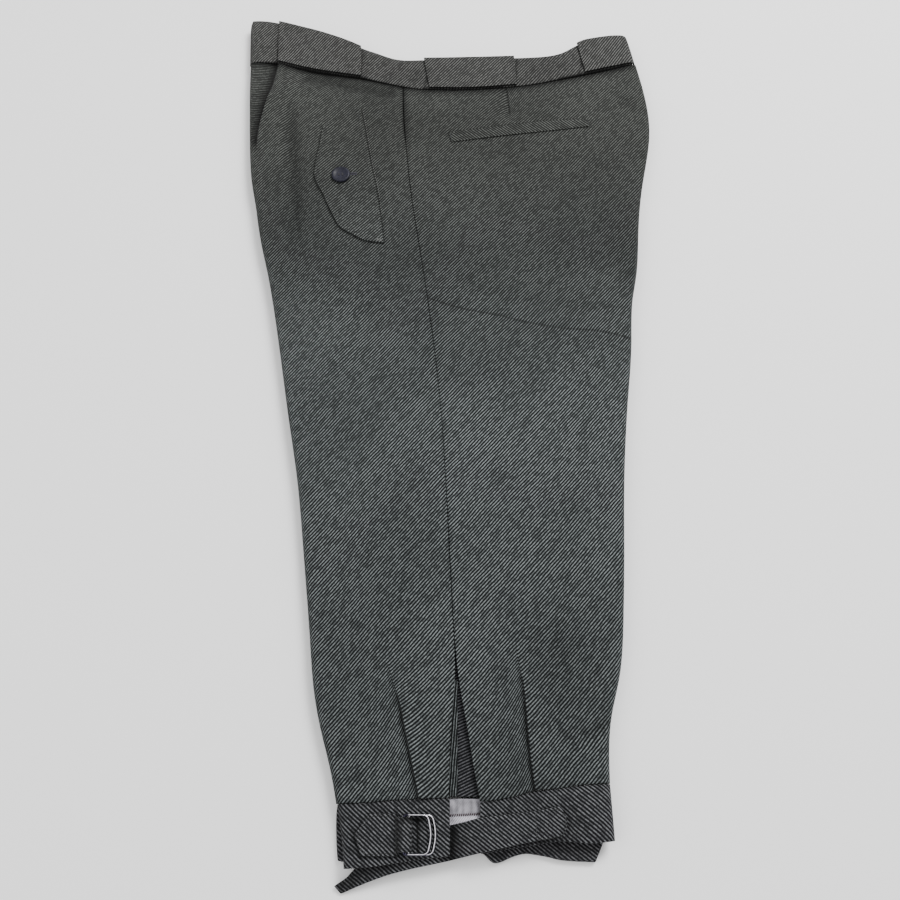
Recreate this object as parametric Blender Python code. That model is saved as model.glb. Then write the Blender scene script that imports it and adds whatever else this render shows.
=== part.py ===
"""Knee breeches laid flat in profile, left leg uppermost, waist towards +Y and wearer's front towards -X.

Sizes are in millimetres and are scaled to metres when a mesh is made.
"""

import bisect
import math

import bmesh
import bpy

MM = 0.001

# Cloth and clearances
WALL = 2.0
SEAM_HALF_GAP = 0.25
GAP = 0.3
FOLD_REACH = 4.2
TUCK = 12.0
DOME = 60.0
FOLD_ANGLES = (-90.0, -54.0, -18.0, 18.0, 54.0, 90.0)
WAIST_ROLL = 2.0
WAIST_ROLL_REACH = 24.0
WAIST_ROLL_EASE = 45.0
RESTING = GAP + 0.1
SETTLE_TURNS = 4

# How the leg panels are divided: rows, and shares of the way between the lines that columns follow
PANEL_ROWS = 30
ROWS_BELOW_CREASE = 15
ROWS_ABOVE_CREASE = 9
CREASE_STEPS = (-0.004, 0.004, 0.03, 0.06)
CREASE_CLEAR = 0.1
WAIST_SHARES = (0.955, 0.968, 0.979, 0.99, 1.0)
WAIST_SHARES_CLEAR = 0.012
LINE_SIDES = (-0.5, 0.5)
FRONT_TO_PLEAT = (0.35, 0.7)
FRONT_TO_MIDDLE = (0.12, 0.28, 0.44, 0.6, 0.76, 0.9)
FRONT_TO_SEAM = (0.3, 0.65, 1.0)
BACK_TO_PLEAT = (0.0, 0.16, 0.32, 0.48, 0.64, 0.8, 0.92)
BACK_TO_FOLD = (0.1, 0.24, 0.38, 0.52, 0.66, 0.8, 0.92)

# Raised lines: reach on the raised side, share of dip beside it, and the dip's reach
WAIST_PLEAT_FORM = (34.0, 0.25, 14.0)
FRONT_PLEAT_FORM = (17.0, 0.35, 14.0)
BACK_PLEAT_FORM = (24.0, 0.35, 16.0)
CROSS_CREASE_FORM = (12.0, 0.3, 12.0)

# Hidden layers: inset, height and drop below the parting of each step round the edge
EDGE_STEPS = (
    (1.0, 0.7, 0.0),
    (0.2, 1.7, 0.0),
    (0.1, 2.6, 0.0),
    (1.5, 3.2, 0.0),
    (0.2, 3.9, 0.0),
    (0.1, 4.6, -0.9),
    (0.8, 0.0, -0.5),
    (3.0, 0.0, -GAP),
)
FOOT = 2.4
FOOT_STEP = 1.2
NECK = FOLD_REACH + TUCK + 3.0
NECK_FOOT = 2.0
NECK_STEP = 1.5
HIDDEN_ROWS = 28
HIDDEN_COLUMNS = 19
HIDDEN_END_GAP = 3.0 * SEAM_HALF_GAP

# Waistband
WAIST_TOP = 12.6
WAIST_MIDDLE = 6.3
WAIST_THICK = 4.4
WAIST_ROUND = 5.0
WAIST_INNER_ROUND = 3.0
WAIST_ANGLES = (0.0, 20.0, 42.0, 66.0)
WAIST_COLUMNS = 31
WAIST_Y = 370.0
BAND_EDGES = ((0.0, 0.5), (0.05, 0.0), (0.5, -0.1), (0.94, 0.0), (1.0, 0.9))
RIGHT_HALF_INSET = 1.0
RIGHT_HALF_SET_BACK = 1.2
TUNNEL_LIFT = GAP + 0.15
TUNNEL_EDGES = ((0.03, 0.1), (0.08, 0.0), (0.5, -0.1), (0.92, 0.0), (1.0, 0.3))
TUNNEL_TURN = (66.0, 42.0, 20.0, 2.0)
TUNNEL_REAR_X = 185.0
TUNNEL_THICK = 1.5
TUNNEL_PROUD = 2.0

# Kneebands, strap and tab
KNEE_TOP = 14.6
KNEE_WALL = 2.6
KNEE_PARTING = 5.5
KNEE_ROUND = 4.6
KNEE_Y = -370.0
KNEE_EDGES = ((0.0, 0.7), (0.05, 0.0), (0.5, -0.1), (0.95, 0.0), (1.0, 0.7))
KNEE_ANGLES = (90.0, 60.0, 30.0, 0.0, -30.0, -60.0, -90.0)
KNEE_FRONT_COLUMNS = 9
KNEE_UNDER_COLUMNS = 13
KNEE_BACK_COLUMNS = 8
KNEE_UNDER_RISE = 2.0
RIGHT_KNEE_TOP = KNEE_PARTING - GAP
RIGHT_KNEE_STEPS = (
    (0.9, 0.6),
    (0.2, 1.4),
    (0.2, 2.2),
    (1.3, 2.6),
    (0.2, 3.0),
    (0.2, 4.0),
    (0.9, RIGHT_KNEE_TOP - 0.4),
    (2.6, RIGHT_KNEE_TOP),
)
RIGHT_KNEE_ROWS = (0.0, 0.03, 0.3, 0.65, 1.0)
RIGHT_KNEE_COLUMNS = 57
RIGHT_KNEE_HEM_DROP = 1.3
RIGHT_KNEE_CLEAR = 5.0
RIGHT_KNEE_FOOT = 1.0
RIGHT_KNEE_FOOT_STEP = 0.5
LINING_THICK = 1.0
LINING_X = (0.5, 33.5)
LINING_Y = (-376.0, -354.2)
LINING_COLUMNS = 5
STRAP_THICK = 1.6
STRAP_COLUMNS = 7
STRAP_REST = KNEE_PARTING + KNEE_WALL + GAP + 0.3
STRAP_FREE_X = -68.0
STRAP_FREE_BELOW_HEM = 2.0
TAB_THICK = 2.4
TAB_BEVEL = 0.6
TAB_CENTRE_Y = -375.7
TAB_TIP_X = -64.0
TAB_LOWER_SHOULDER_X = -58.6
TAB_UPPER_SHOULDER_X = -53.0
TAB_END_X = -32.2
TAB_HALF_WIDTH = 14.5
LOOP_HALF_WIDTH = 12.0
LOOP_WALL = 1.4
LOOP_SIDES = 28

# Wire D-rings
WIRE_RADIUS = 0.8
CHANNEL_RADIUS = 1.05
WIRE_SIDES = 10
RING_HALF_HEIGHT = 13.5
RING_REACH = 19.9
RING_SHOULDER = RING_REACH - 2.6
BAR_CORNER = 1.3
BAR_CORNER_STEPS = 3
RING_CORNER = 4.5
RING_END_RADIUS = 30.0
RING_END_OUT = 0.2
RING_CORNER_STEPS = 6
RING_TILT = math.radians(4.7)
UPPER_BAR = (-27.6, 19.6)
LOWER_BAR = (-24.2, 17.35)
STITCH_POINT = (-31.5, 16.45)
STITCH_RADIUS = 0.15

# Flap, button and welt
FLAP_THICK = 1.5
WELT_THICK = 1.2
BUTTON_CENTRE = (-97.7, 209.9)
BUTTON_RADIUS = 8.8
BUTTON_STEPS = 28
BUTTON_PROFILE = ((0.72, 0.0), (0.96, 0.7), (1.0, 1.5), (0.94, 2.4), (0.84, 2.8), (0.70, 2.5), (0.56, 1.9))
HOLE_RADIUS = 0.9
HOLE_SIDES = 10
HOLE_DEPTH = 8.0
HOLE_OFFSET = 1.7

# Vent pieces under the leg panels
FACING_THICK = 1.2
UNDERLAP_THICK = 1.2
VENT_TOP = -250.0
FACING_TOP = VENT_TOP - 14.0
FACING_FRONT_LAP = 5.0
FACING_BACK_CLEAR = 0.4
FACING_BACK_LIMIT = 11.5
UNDERLAP_FRONT_LAP = 4.0
UNDERLAP_BACK_LAP = 4.5
VENT_FOOT_X = 16.0
VENT_FOOT_CLEAR = 2.5
VENT_ROWS = 9
VENT_COLUMNS = 3
VENT_MIDDLE_X = 15.0
VENT_DROP_REACH = 24.0
VENT_DROP_EASE = 6.0
VENT_DROP_ABOVE = 22.0
VENT_DROP_EASE_ABOVE = 12.0
VENT_DROP = FACING_THICK + UNDERLAP_THICK + 2.0 * GAP + 0.4


class Table:
    """A short table with named columns, read between its rows on a smooth curve."""

    def __init__(self, columns, *rows):
        self.columns = columns.split()
        self.rows = sorted(rows)
        self.keys = [row[0] for row in self.rows]

    def secant(self, values, k):
        return (values[k + 1] - values[k]) / (self.keys[k + 1] - self.keys[k])

    def slope(self, values, k):
        last = len(self.keys) - 1
        if k == 0:
            return self.secant(values, 0)
        if k == last:
            return self.secant(values, last - 1)
        before = self.secant(values, k - 1)
        after = self.secant(values, k)
        if before * after <= 0.0:
            return 0.0
        return 2.0 * before * after / (before + after)

    def at(self, column, where):
        values = [row[self.columns.index(column)] for row in self.rows]
        if where <= self.keys[0]:
            return values[0]
        if where >= self.keys[-1]:
            return values[-1]
        k = bisect.bisect_right(self.keys, where) - 1
        width = self.keys[k + 1] - self.keys[k]
        t = (where - self.keys[k]) / width
        rise = values[k + 1] - values[k]
        start = self.slope(values, k) * width
        end = self.slope(values, k + 1) * width
        a = start + end - 2.0 * rise
        b = 3.0 * rise - 2.0 * start - end
        return values[k] + t * (start + t * (b + t * a))


# Outline of the legs: wearer's front and back folds along the length
LEG = Table(
    "y left right",
    (362.0, -196.2, 192.0),
    (310.0, -193.3, 199.7),
    (285.0, -191.3, 201.8),
    (263.0, -189.8, 201.1),
    (237.0, -187.3, 196.2),
    (213.0, -185.0, 191.6),
    (190.0, -179.4, 186.1),
    (145.0, -171.4, 181.0),
    (101.0, -160.0, 176.9),
    (80.0, -155.5, 170.9),
    (18.0, -143.7, 165.7),
    (-31.0, -135.0, 158.9),
    (-105.0, -121.1, 151.4),
    (-165.0, -113.2, 147.6),
    (-231.0, -104.8, 142.3),
    (-253.0, -102.5, 140.0),
    (-278.0, -98.7, 133.0),
    (-293.0, -95.4, 128.2),
    (-322.0, -86.4, 125.6),
    (-344.0, -80.1, 125.4),
    (-356.0, -78.6, 125.6),
)

# Heights of the upper leg: where it meets the lower leg, its folded edge's top and its middle
LEVEL = Table(
    "y parting edge middle",
    (356.0, 6.1, 11.6, 12.0),
    (300.0, 6.8, 13.4, 14.6),
    (200.0, 7.2, 14.0, 16.0),
    (0.0, 7.2, 13.9, 15.6),
    (-250.0, 6.6, 13.4, 14.9),
    (-354.0, 5.5, 13.4, 14.2),
)

# How far the lower leg's folds lie inside the upper leg's
UNDER = Table(
    "y left right",
    (360.0, 1.4, 1.6),
    (240.0, 2.4, 1.2),
    (100.0, 1.2, 3.0),
    (-60.0, 2.6, 1.4),
    (-200.0, 1.2, 2.6),
    (-300.0, 2.0, 1.2),
    (-354.0, 0.8, 3.0),
)

# Side seam, and how far each panel's edge stands away from it where it opens into the vent
SIDE_SEAM = Table(
    "y x",
    (330.0, -41.2),
    (277.0, -39.2),
    (236.0, -35.6),
    (192.0, -31.1),
    (118.0, -20.4),
    (48.0, -10.7),
    (-34.0, -2.0),
    (-110.0, 2.8),
    (-190.0, 6.8),
    (-257.0, 10.4),
    (-350.0, 14.0),
)
VENT = Table(
    "y front back",
    (-256.0, 0.0, 0.0),
    (-282.0, 3.3, 4.1),
    (-308.0, 5.9, 7.7),
    (-326.0, 7.6, 9.7),
    (-350.0, 9.0, 13.5),
)

# Waistband: its seam with the legs and its top edge
WAIST = Table(
    "x seam top",
    (-200.0, 353.5, 400.0),
    (-197.0, 353.5, 409.3),
    (-187.5, 353.5, 409.7),
    (-170.0, 353.0, 406.3),
    (-146.0, 346.0, 398.9),
    (-129.0, 341.5, 393.5),
    (-112.0, 338.3, 386.8),
    (-96.0, 335.8, 379.6),
    (-79.0, 332.6, 370.2),
    (-63.0, 328.0, 364.4),
    (-46.0, 323.4, 356.6),
    (-20.0, 319.0, 357.2),
    (18.0, 318.4, 358.2),
    (57.0, 321.0, 359.4),
    (86.0, 324.8, 360.6),
    (115.0, 331.8, 364.0),
    (131.0, 335.7, 374.6),
    (140.0, 338.2, 380.6),
    (157.0, 342.8, 384.6),
    (173.0, 347.0, 386.9),
    (187.0, 350.8, 386.6),
    (192.0, 352.0, 385.8),
)
WAIST_ENDS = Table(
    "y left right",
    (350.0, -196.4, 191.2),
    (372.0, -197.8, 188.0),
    (390.0, -199.0, 184.4),
    (410.0, -200.0, 182.0),
)

# Kneeband: its seam with the leg, its lower edge, and its folds
KNEE = Table(
    "x seam hem",
    (-80.0, -354.2, -398.8),
    (-58.0, -353.5, -398.0),
    (-30.0, -351.4, -394.3),
    (5.0, -350.3, -390.1),
    (28.0, -352.8, -388.5),
    (50.0, -350.0, -385.0),
    (69.0, -345.1, -382.5),
    (88.0, -343.3, -379.6),
    (108.0, -340.5, -381.8),
    (127.0, -339.8, -379.6),
)
KNEE_FOLDS = Table(
    "y left right",
    (-340.0, -78.6, 125.2),
    (-354.0, -77.9, 125.7),
    (-362.0, -76.2, 126.0),
    (-370.0, -74.6, 126.2),
    (-380.0, -73.0, 126.5),
    (-399.0, -71.4, 127.0),
)
KNEE_FRONT_END = 5.6
KNEE_BACK_END = 28.0

# Lower edge and ends of the right kneeband, which lies underneath
UNDER_HEM = Table(
    "x hem",
    (-78.0, -392.6),
    (-72.0, -393.8),
    (-40.0, -391.6),
    (5.0, -389.5),
    (29.0, -387.4),
    (32.0, -389.4),
    (35.0, -393.6),
    (38.0, -395.0),
    (42.0, -394.4),
    (47.0, -392.3),
    (51.0, -390.6),
    (57.0, -388.9),
    (61.4, -388.2),
    (67.2, -388.9),
    (78.9, -390.9),
    (84.7, -392.4),
    (99.3, -393.6),
    (114.0, -394.0),
)
UNDER_ENDS = Table(
    "y left right",
    (-340.0, -79.4, 123.6),
    (-360.0, -79.2, 122.8),
    (-378.0, -78.4, 120.6),
    (-384.0, -78.0, 116.2),
    (-388.0, -77.4, 113.4),
    (-395.0, -76.4, 112.6),
)

# Folds and pleats: where each line runs and how far its edge stands up
WAIST_PLEAT = Table(
    "y x height",
    (353.0, -167.6, 1.9),
    (326.0, -170.6, 1.9),
    (305.0, -175.7, 1.6),
    (285.0, -179.0, 1.1),
    (262.0, -181.4, 0.4),
    (240.0, -181.0, 0.0),
)
FRONT_PLEAT = Table(
    "y x height",
    (-240.0, -44.0, 0.0),
    (-262.0, -39.4, 0.2),
    (-283.0, -32.4, 1.0),
    (-314.0, -25.8, 1.5),
    (-342.0, -19.1, 1.3),
    (-351.0, -17.7, 1.2),
)
BACK_PLEAT = Table(
    "y x height",
    (-232.0, 57.0, 0.0),
    (-252.0, 59.1, 0.3),
    (-271.0, 62.5, 1.0),
    (-302.0, 64.3, 1.5),
    (-326.0, 66.2, 1.3),
    (-346.0, 68.8, 1.2),
)
CROSS_CREASE = Table(
    "x y height",
    (-20.0, 79.0, 0.2),
    (13.0, 66.6, 0.7),
    (49.0, 58.4, 0.9),
    (79.0, 50.2, 1.0),
    (109.0, 45.1, 0.9),
    (138.0, 43.1, 0.7),
    (166.0, 36.0, 0.6),
)
CREASE_SHARE = 0.56
TROUGH_REACH = 12.0
TROUGH_ABOVE = 24.0
TROUGH_DEPTH = 0.6

# Lines that the grid's columns follow on each panel
FRONT_GUIDES = Table(
    "y pleat middle",
    (353.0, -167.6, -100.0),
    (305.0, -175.7, -98.0),
    (262.0, -181.4, -95.0),
    (213.0, -174.0, -90.0),
    (101.0, -148.0, -77.0),
    (0.0, -128.0, -66.0),
    (-165.0, -101.0, -50.0),
    (-240.0, -92.0, -44.0),
    (-262.0, -89.0, -39.4),
    (-283.0, -85.0, -32.4),
    (-314.0, -76.0, -25.8),
    (-342.0, -68.0, -19.1),
    (-351.0, -66.0, -17.7),
)
BACK_GUIDE = Table(
    "y pleat",
    (353.0, 66.0),
    (0.0, 68.0),
    (-165.0, 62.0),
    (-232.0, 57.0),
    (-252.0, 59.1),
    (-271.0, 62.5),
    (-302.0, 64.3),
    (-326.0, 66.2),
    (-346.0, 68.8),
)

# Pocket flap, from its top edge down: its scalloped front edge and its straight rear edge
FLAP = Table(
    "share front_x front_y rear_x rear_y",
    (0.0, -117.7, 270.1, -81.5, 290.4),
    (0.15, -119.9, 246.0, -76.7, 264.1),
    (0.28, -122.6, 226.0, -72.8, 240.0),
    (0.38, -123.4, 211.2, -68.4, 216.0),
    (0.52, -114.9, 192.2, -63.8, 195.0),
    (0.70, -103.8, 166.1, -59.8, 168.0),
    (0.81, -96.2, 151.6, -57.6, 153.0),
    (0.90, -84.9, 144.6, -56.4, 142.6),
    (1.0, -72.6, 136.6, -55.2, 134.8),
)
FLAP_ROWS = 17
FLAP_COLUMNS = 6

# Belt tunnels: lower and upper ends of their front and rear edges
TUNNELS = {
    "belt_tunnel_front": {"front": (-167.4, -169.6), "rear": (-83.0, -84.4)},
    "belt_tunnel_side": {"front": (-14.4, -20.6), "rear": (72.0, 70.2)},
    "belt_tunnel_back": {"front": (141.2, 134.4), "rear": None},
}
TUNNEL_COLUMNS = 8

WELT_LOWER = Table("x y", (7.1, 250.8), (62.7, 259.6), (107.3, 265.2), (141.7, 270.1))
WELT_UPPER = Table("x y", (3.8, 262.6), (65.0, 272.4), (107.9, 277.6), (140.2, 279.0))
WELT_ROWS = (0.0, 0.5, 1.0)
WELT_COLUMNS = 8

# Knee strap from its sewn point to its loose tip: both edges and their heights above the floor
STRAP = (
    {"upper": (92.2, -363.4, 14.9), "lower": (90.4, -373.4, 14.9)},
    {"upper": (86.0, -356.0, 14.9), "lower": (87.0, -377.2, 14.9)},
    {"upper": (68.0, -359.6, 14.9), "lower": (69.0, -379.8, 14.9)},
    {"upper": (49.7, -361.4, 14.9), "lower": (51.0, -383.2, 14.9)},
    {"upper": (34.0, -363.2, 14.9), "lower": (35.0, -386.8, 14.9)},
    {"upper": (26.8, -364.2, 14.9), "lower": (27.2, -388.2, 14.9)},
    {"upper": (22.0, -365.2, 13.2), "lower": (22.4, -389.2, 13.0)},
    {"upper": (15.4, -366.8, 10.6), "lower": (15.4, -390.8, 10.3)},
    {"upper": (9.6, -368.0, 9.9), "lower": (9.2, -392.2, 9.6)},
    {"upper": (3.0, -369.4, 9.8), "lower": (2.2, -393.8, 9.4)},
    {"upper": (-20.0, -374.8, 9.2), "lower": (-22.5, -398.6, 8.9)},
    {"upper": (-38.0, -380.6, 9.0), "lower": (-40.0, -402.8, 7.6)},
    {"upper": (-52.0, -387.8, 8.8), "lower": (-53.0, -407.2, 5.6)},
    {"upper": (-63.2, -398.0, 8.6), "lower": (-63.6, -411.2, 3.4)},
    {"upper": (-69.0, -404.2, 5.2), "lower": (-69.8, -413.8, 1.6)},
    {"upper": (-78.6, -410.0, 1.6), "lower": (-73.4, -415.2, 0.5)},
)

# Colours as linear red, green and blue
WOOL = (0.068, 0.074, 0.070, 1.0)
WOOL_DARK = (0.045, 0.047, 0.050, 1.0)
LINING = (0.42, 0.42, 0.43, 1.0)
BUTTON = (0.035, 0.033, 0.045, 1.0)
STEEL = (0.72, 0.72, 0.74, 1.0)
WOOL_PIECES = ("front", "back", "waistband", "tunnel", "flap", "welt", "kneeband", "tab", "strap")


def smooth(t):
    t = min(max(t, 0.0), 1.0)
    return t * t * (3.0 - 2.0 * t)


def mix(a, b, t):
    return a + (b - a) * t


def make_material(name, colour, roughness, metallic=0.0):
    material = bpy.data.materials.new(name)
    material.use_nodes = True
    shader = material.node_tree.nodes["Principled BSDF"]
    shader.inputs["Base Color"].default_value = colour
    shader.inputs["Roughness"].default_value = roughness
    shader.inputs["Metallic"].default_value = metallic
    return material


def make_object(name, bm, material, smooth_angle=40.0):
    bmesh.ops.recalc_face_normals(bm, faces=bm.faces)
    mesh = bpy.data.meshes.new(name)
    bm.to_mesh(mesh)
    bm.free()
    mesh.shade_smooth()
    mesh.set_sharp_from_angle(angle=math.radians(smooth_angle))
    mesh.materials.append(material)
    made = bpy.data.objects.new(name, mesh)
    bpy.context.collection.objects.link(made)
    return made


def closed_wall(name, outer, inner, material, ring=False):
    """A closed wall between two grids of points; a ring's last column meets its first."""
    bm = bmesh.new()
    over, under = (
        [[bm.verts.new([c * MM for c in point]) for point in row] for row in grid]
        for grid in (outer, inner)
    )
    rows = len(outer)
    columns = len(outer[0])
    spans = columns if ring else columns - 1
    for verts, flip in ((over, False), (under, True)):
        for i in range(rows - 1):
            for j in range(spans):
                after = (j + 1) % columns
                quad = [verts[i][j], verts[i][after], verts[i + 1][after], verts[i + 1][j]]
                bm.faces.new(quad[::-1] if flip else quad)
    for i, turned in ((0, False), (rows - 1, True)):
        for j in range(spans):
            after = (j + 1) % columns
            quad = [over[i][after], over[i][j], under[i][j], under[i][after]]
            bm.faces.new(quad[::-1] if turned else quad)
    if not ring:
        for j, turned in ((0, True), (columns - 1, False)):
            for i in range(rows - 1):
                quad = [over[i + 1][j], over[i][j], under[i][j], under[i + 1][j]]
                bm.faces.new(quad[::-1] if turned else quad)
    return make_object(name, bm, material)


def front_edge(y):
    """The front panel's rear edge."""
    return SIDE_SEAM.at("x", y) - VENT.at("front", y)


def back_edge(y):
    """The back panel's front edge."""
    return SIDE_SEAM.at("x", y) + VENT.at("back", y)


def leg_height(x, y):
    """Height of the upper leg's plain outer face."""
    inward = min(x - LEG.at("left", y), LEG.at("right", y) - x)
    plain = mix(LEVEL.at("edge", y), LEVEL.at("middle", y), smooth(inward / DOME))
    below_waist = WAIST.at("seam", x) - y
    roll = smooth(1.0 - below_waist / WAIST_ROLL_REACH) * smooth(inward / WAIST_ROLL_EASE)
    return plain - WAIST_ROLL * roll


def fold_column(side, angle):
    """A column on the rounded fold at one side of the upper leg."""
    inwards = 1.0 if side == "left" else -1.0
    turn = math.radians(angle)

    def at(y):
        parting = LEVEL.at("parting", y)
        half = (LEVEL.at("edge", y) - parting) / 2.0
        x = LEG.at(side, y) + inwards * FOLD_REACH * (1.0 - math.cos(turn))
        across = -inwards * math.cos(turn) / FOLD_REACH
        up = math.sin(turn) / half
        length = math.hypot(across, up)
        return x, parting + half + half * math.sin(turn), across / length, up / length

    return at


def tuck_column(side):
    """The column where the fold's inner layer ends."""
    inwards = 1.0 if side == "left" else -1.0

    def at(y):
        x = LEG.at(side, y) + inwards * (FOLD_REACH + TUCK)
        return x, LEVEL.at("parting", y), 0.0, -1.0

    return at


def top_column(line):
    def at(y):
        x = line(y)
        return x, leg_height(x, y), 0.0, 1.0

    return at


def between(first, second, share):
    """A line at a share of the way from one line to another."""
    return lambda y: mix(first(y), second(y), share)


def shifted(line, distance):
    return lambda y: line(y) + distance


def beside_fold(distance, height, form):
    """Height beside a folded edge: raised on its own side, a little low on the other."""
    reach, dip, dip_reach = form
    if distance > 0.0:
        return height * (1.0 - smooth(distance / reach))
    return -dip * height * (1.0 - smooth(-distance / dip_reach))


def front_relief(x, y):
    waist = WAIST_PLEAT.at("height", y) if y > WAIST_PLEAT.keys[0] else 0.0
    lift = beside_fold(x - WAIST_PLEAT.at("x", y), waist, WAIST_PLEAT_FORM)
    knee = FRONT_PLEAT.at("height", y) if y < FRONT_PLEAT.keys[-1] else 0.0
    return lift + beside_fold(x - FRONT_PLEAT.at("x", y), knee, FRONT_PLEAT_FORM)


def back_relief(x, y):
    knee = BACK_PLEAT.at("height", y) if y < BACK_PLEAT.keys[-1] else 0.0
    lift = beside_fold(x - BACK_PLEAT.at("x", y), knee, BACK_PLEAT_FORM)
    below = CROSS_CREASE.at("y", x) - y
    height = CROSS_CREASE.at("height", x)
    lift += beside_fold(below, height, CROSS_CREASE_FORM)
    from_trough = (-below - TROUGH_ABOVE) / TROUGH_REACH
    return lift - TROUGH_DEPTH * height * math.exp(-from_trough * from_trough)


def leg_row(x, share):
    """How far up the leg a row lies where it passes x: 0 at the knee seam, 1 at the waist seam."""
    low = KNEE.at("seam", x) + SEAM_HALF_GAP
    return mix(low, WAIST.at("seam", x) - SEAM_HALF_GAP, share)


def creased_row(x, share):
    """The same with one row along the cross crease."""
    crease = CROSS_CREASE.at("y", x)
    if share <= CREASE_SHARE:
        return mix(KNEE.at("seam", x) + SEAM_HALF_GAP, crease, share / CREASE_SHARE)
    rest = (share - CREASE_SHARE) / (1.0 - CREASE_SHARE)
    return mix(crease, WAIST.at("seam", x) - SEAM_HALF_GAP, rest)


def with_waist_rows(shares):
    """The same rows up to the roll below the waistband, and closer ones on it."""
    return [s for s in shares if s < WAIST_SHARES[0] - WAIST_SHARES_CLEAR] + list(WAIST_SHARES)


def settle(column, row, share):
    """The y where a column and a row cross."""
    y = row(0.0, share)
    for _ in range(SETTLE_TURNS):
        y = row(column(y)[0], share)
    return y


def panel_grids(columns, shares, row, relief):
    outer = []
    inner = []
    for share in shares:
        outer_row = []
        inner_row = []
        for column in columns:
            y = settle(column, row, share)
            x, z, across, up = column(y)
            outer_row.append((x, y, z + relief(x, y) * max(up, 0.0)))
            inner_row.append((x - WALL * across, y, z - WALL * up))
        outer.append(outer_row)
        inner.append(inner_row)
    return outer, inner


def make_front_panel(material):
    fold = shifted(lambda y: LEG.at("left", y), FOLD_REACH)
    pleat = lambda y: FRONT_GUIDES.at("pleat", y)
    middle = lambda y: FRONT_GUIDES.at("middle", y)
    seam = shifted(front_edge, -SEAM_HALF_GAP)
    columns = [tuck_column("left")] + [fold_column("left", a) for a in FOLD_ANGLES]
    columns += [top_column(between(fold, pleat, share)) for share in FRONT_TO_PLEAT]
    columns += [top_column(shifted(pleat, d)) for d in LINE_SIDES]
    columns += [top_column(between(pleat, middle, share)) for share in FRONT_TO_MIDDLE]
    columns += [top_column(shifted(middle, d)) for d in LINE_SIDES]
    columns += [top_column(between(middle, seam, share)) for share in FRONT_TO_SEAM]
    shares = with_waist_rows([i / (PANEL_ROWS - 1) for i in range(PANEL_ROWS)])
    outer, inner = panel_grids(columns, shares, leg_row, front_relief)
    return closed_wall("front_panel", outer, inner, material)


def make_back_panel(material):
    fold = shifted(lambda y: LEG.at("right", y), -FOLD_REACH)
    pleat = lambda y: BACK_GUIDE.at("pleat", y)
    seam = shifted(back_edge, SEAM_HALF_GAP)
    columns = [top_column(between(seam, pleat, share)) for share in BACK_TO_PLEAT]
    columns += [top_column(shifted(pleat, d)) for d in LINE_SIDES]
    columns += [top_column(between(pleat, fold, share)) for share in BACK_TO_FOLD]
    columns += [fold_column("right", a) for a in reversed(FOLD_ANGLES)] + [tuck_column("right")]
    shares = [CREASE_SHARE * i / ROWS_BELOW_CREASE for i in range(ROWS_BELOW_CREASE)]
    shares += [CREASE_SHARE + step for step in CREASE_STEPS]
    above = [i / (ROWS_ABOVE_CREASE - 1) for i in range(ROWS_ABOVE_CREASE)]
    shares += [mix(CREASE_SHARE + CREASE_CLEAR, 1.0, share) for share in above]
    outer, inner = panel_grids(columns, with_waist_rows(shares), creased_row, back_relief)
    return closed_wall("back_panel", outer, inner, material)


def vent_drop(x, y):
    """How much lower the hidden layers lie under the vent's pieces."""
    across = smooth((VENT_DROP_REACH - abs(x - VENT_MIDDLE_X)) / VENT_DROP_EASE)
    along = smooth((VENT_TOP + VENT_DROP_ABOVE - y) / VENT_DROP_EASE_ABOVE)
    return VENT_DROP * across * along


def make_hidden_layers(material):
    """The right leg and the inner layers as one rounded solid: flat beneath, grooved at its edges."""
    middles = [i / (HIDDEN_COLUMNS - 1) for i in range(HIDDEN_COLUMNS)]

    def edge(side, y, k):
        inwards = 1.0 if side == "left" else -1.0
        start = LEG.at(side, y) + inwards * UNDER.at(side, y)
        inset, height, drop = EDGE_STEPS[k]
        level = height if height else LEVEL.at("parting", y) + drop
        upper = (start + inwards * inset, min(level, LEVEL.at("parting", y) - GAP))
        return upper, start + inwards * (FOOT + FOOT_STEP * k)

    def neck_foot(side, y):
        inwards = 1.0 if side == "left" else -1.0
        x = LEG.at(side, y) + inwards * NECK
        return (x, LEVEL.at("parting", y) - RESTING), x - inwards * NECK_FOOT

    def middle(share, y):
        reach = NECK + NECK_STEP
        x = mix(LEG.at("left", y) + reach, LEG.at("right", y) - reach, share)
        z = leg_height(x, y) - WALL - RESTING - vent_drop(x, y)
        return (x, z), x

    columns = [lambda y, k=k: edge("left", y, k) for k in range(len(EDGE_STEPS))]
    columns.append(lambda y: neck_foot("left", y))
    columns += [lambda y, s=s: middle(s, y) for s in middles]
    columns.append(lambda y: neck_foot("right", y))
    columns += [lambda y, k=k: edge("right", y, k) for k in reversed(range(len(EDGE_STEPS)))]
    upper = []
    lower = []

    def row_y(x, share):
        low = KNEE.at("seam", x) + HIDDEN_END_GAP
        return mix(low, WAIST.at("seam", x) - HIDDEN_END_GAP, share)

    for share in with_waist_rows([i / (HIDDEN_ROWS - 1) for i in range(HIDDEN_ROWS)]):
        upper_row = []
        lower_row = []
        for column in columns:
            y = 0.0
            for _ in range(SETTLE_TURNS):
                y = row_y(column(y)[0][0], share)
            (x, z), foot_x = column(y)
            upper_row.append((x, y, z))
            lower_row.append((foot_x, row_y(foot_x, share), 0.0))
        upper.append(upper_row)
        lower.append(lower_row)
    return closed_wall("hidden_layers", upper, lower, material)


def waist_y(x, share):
    return mix(WAIST.at("seam", x) + SEAM_HALF_GAP, WAIST.at("top", x), share)


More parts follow.
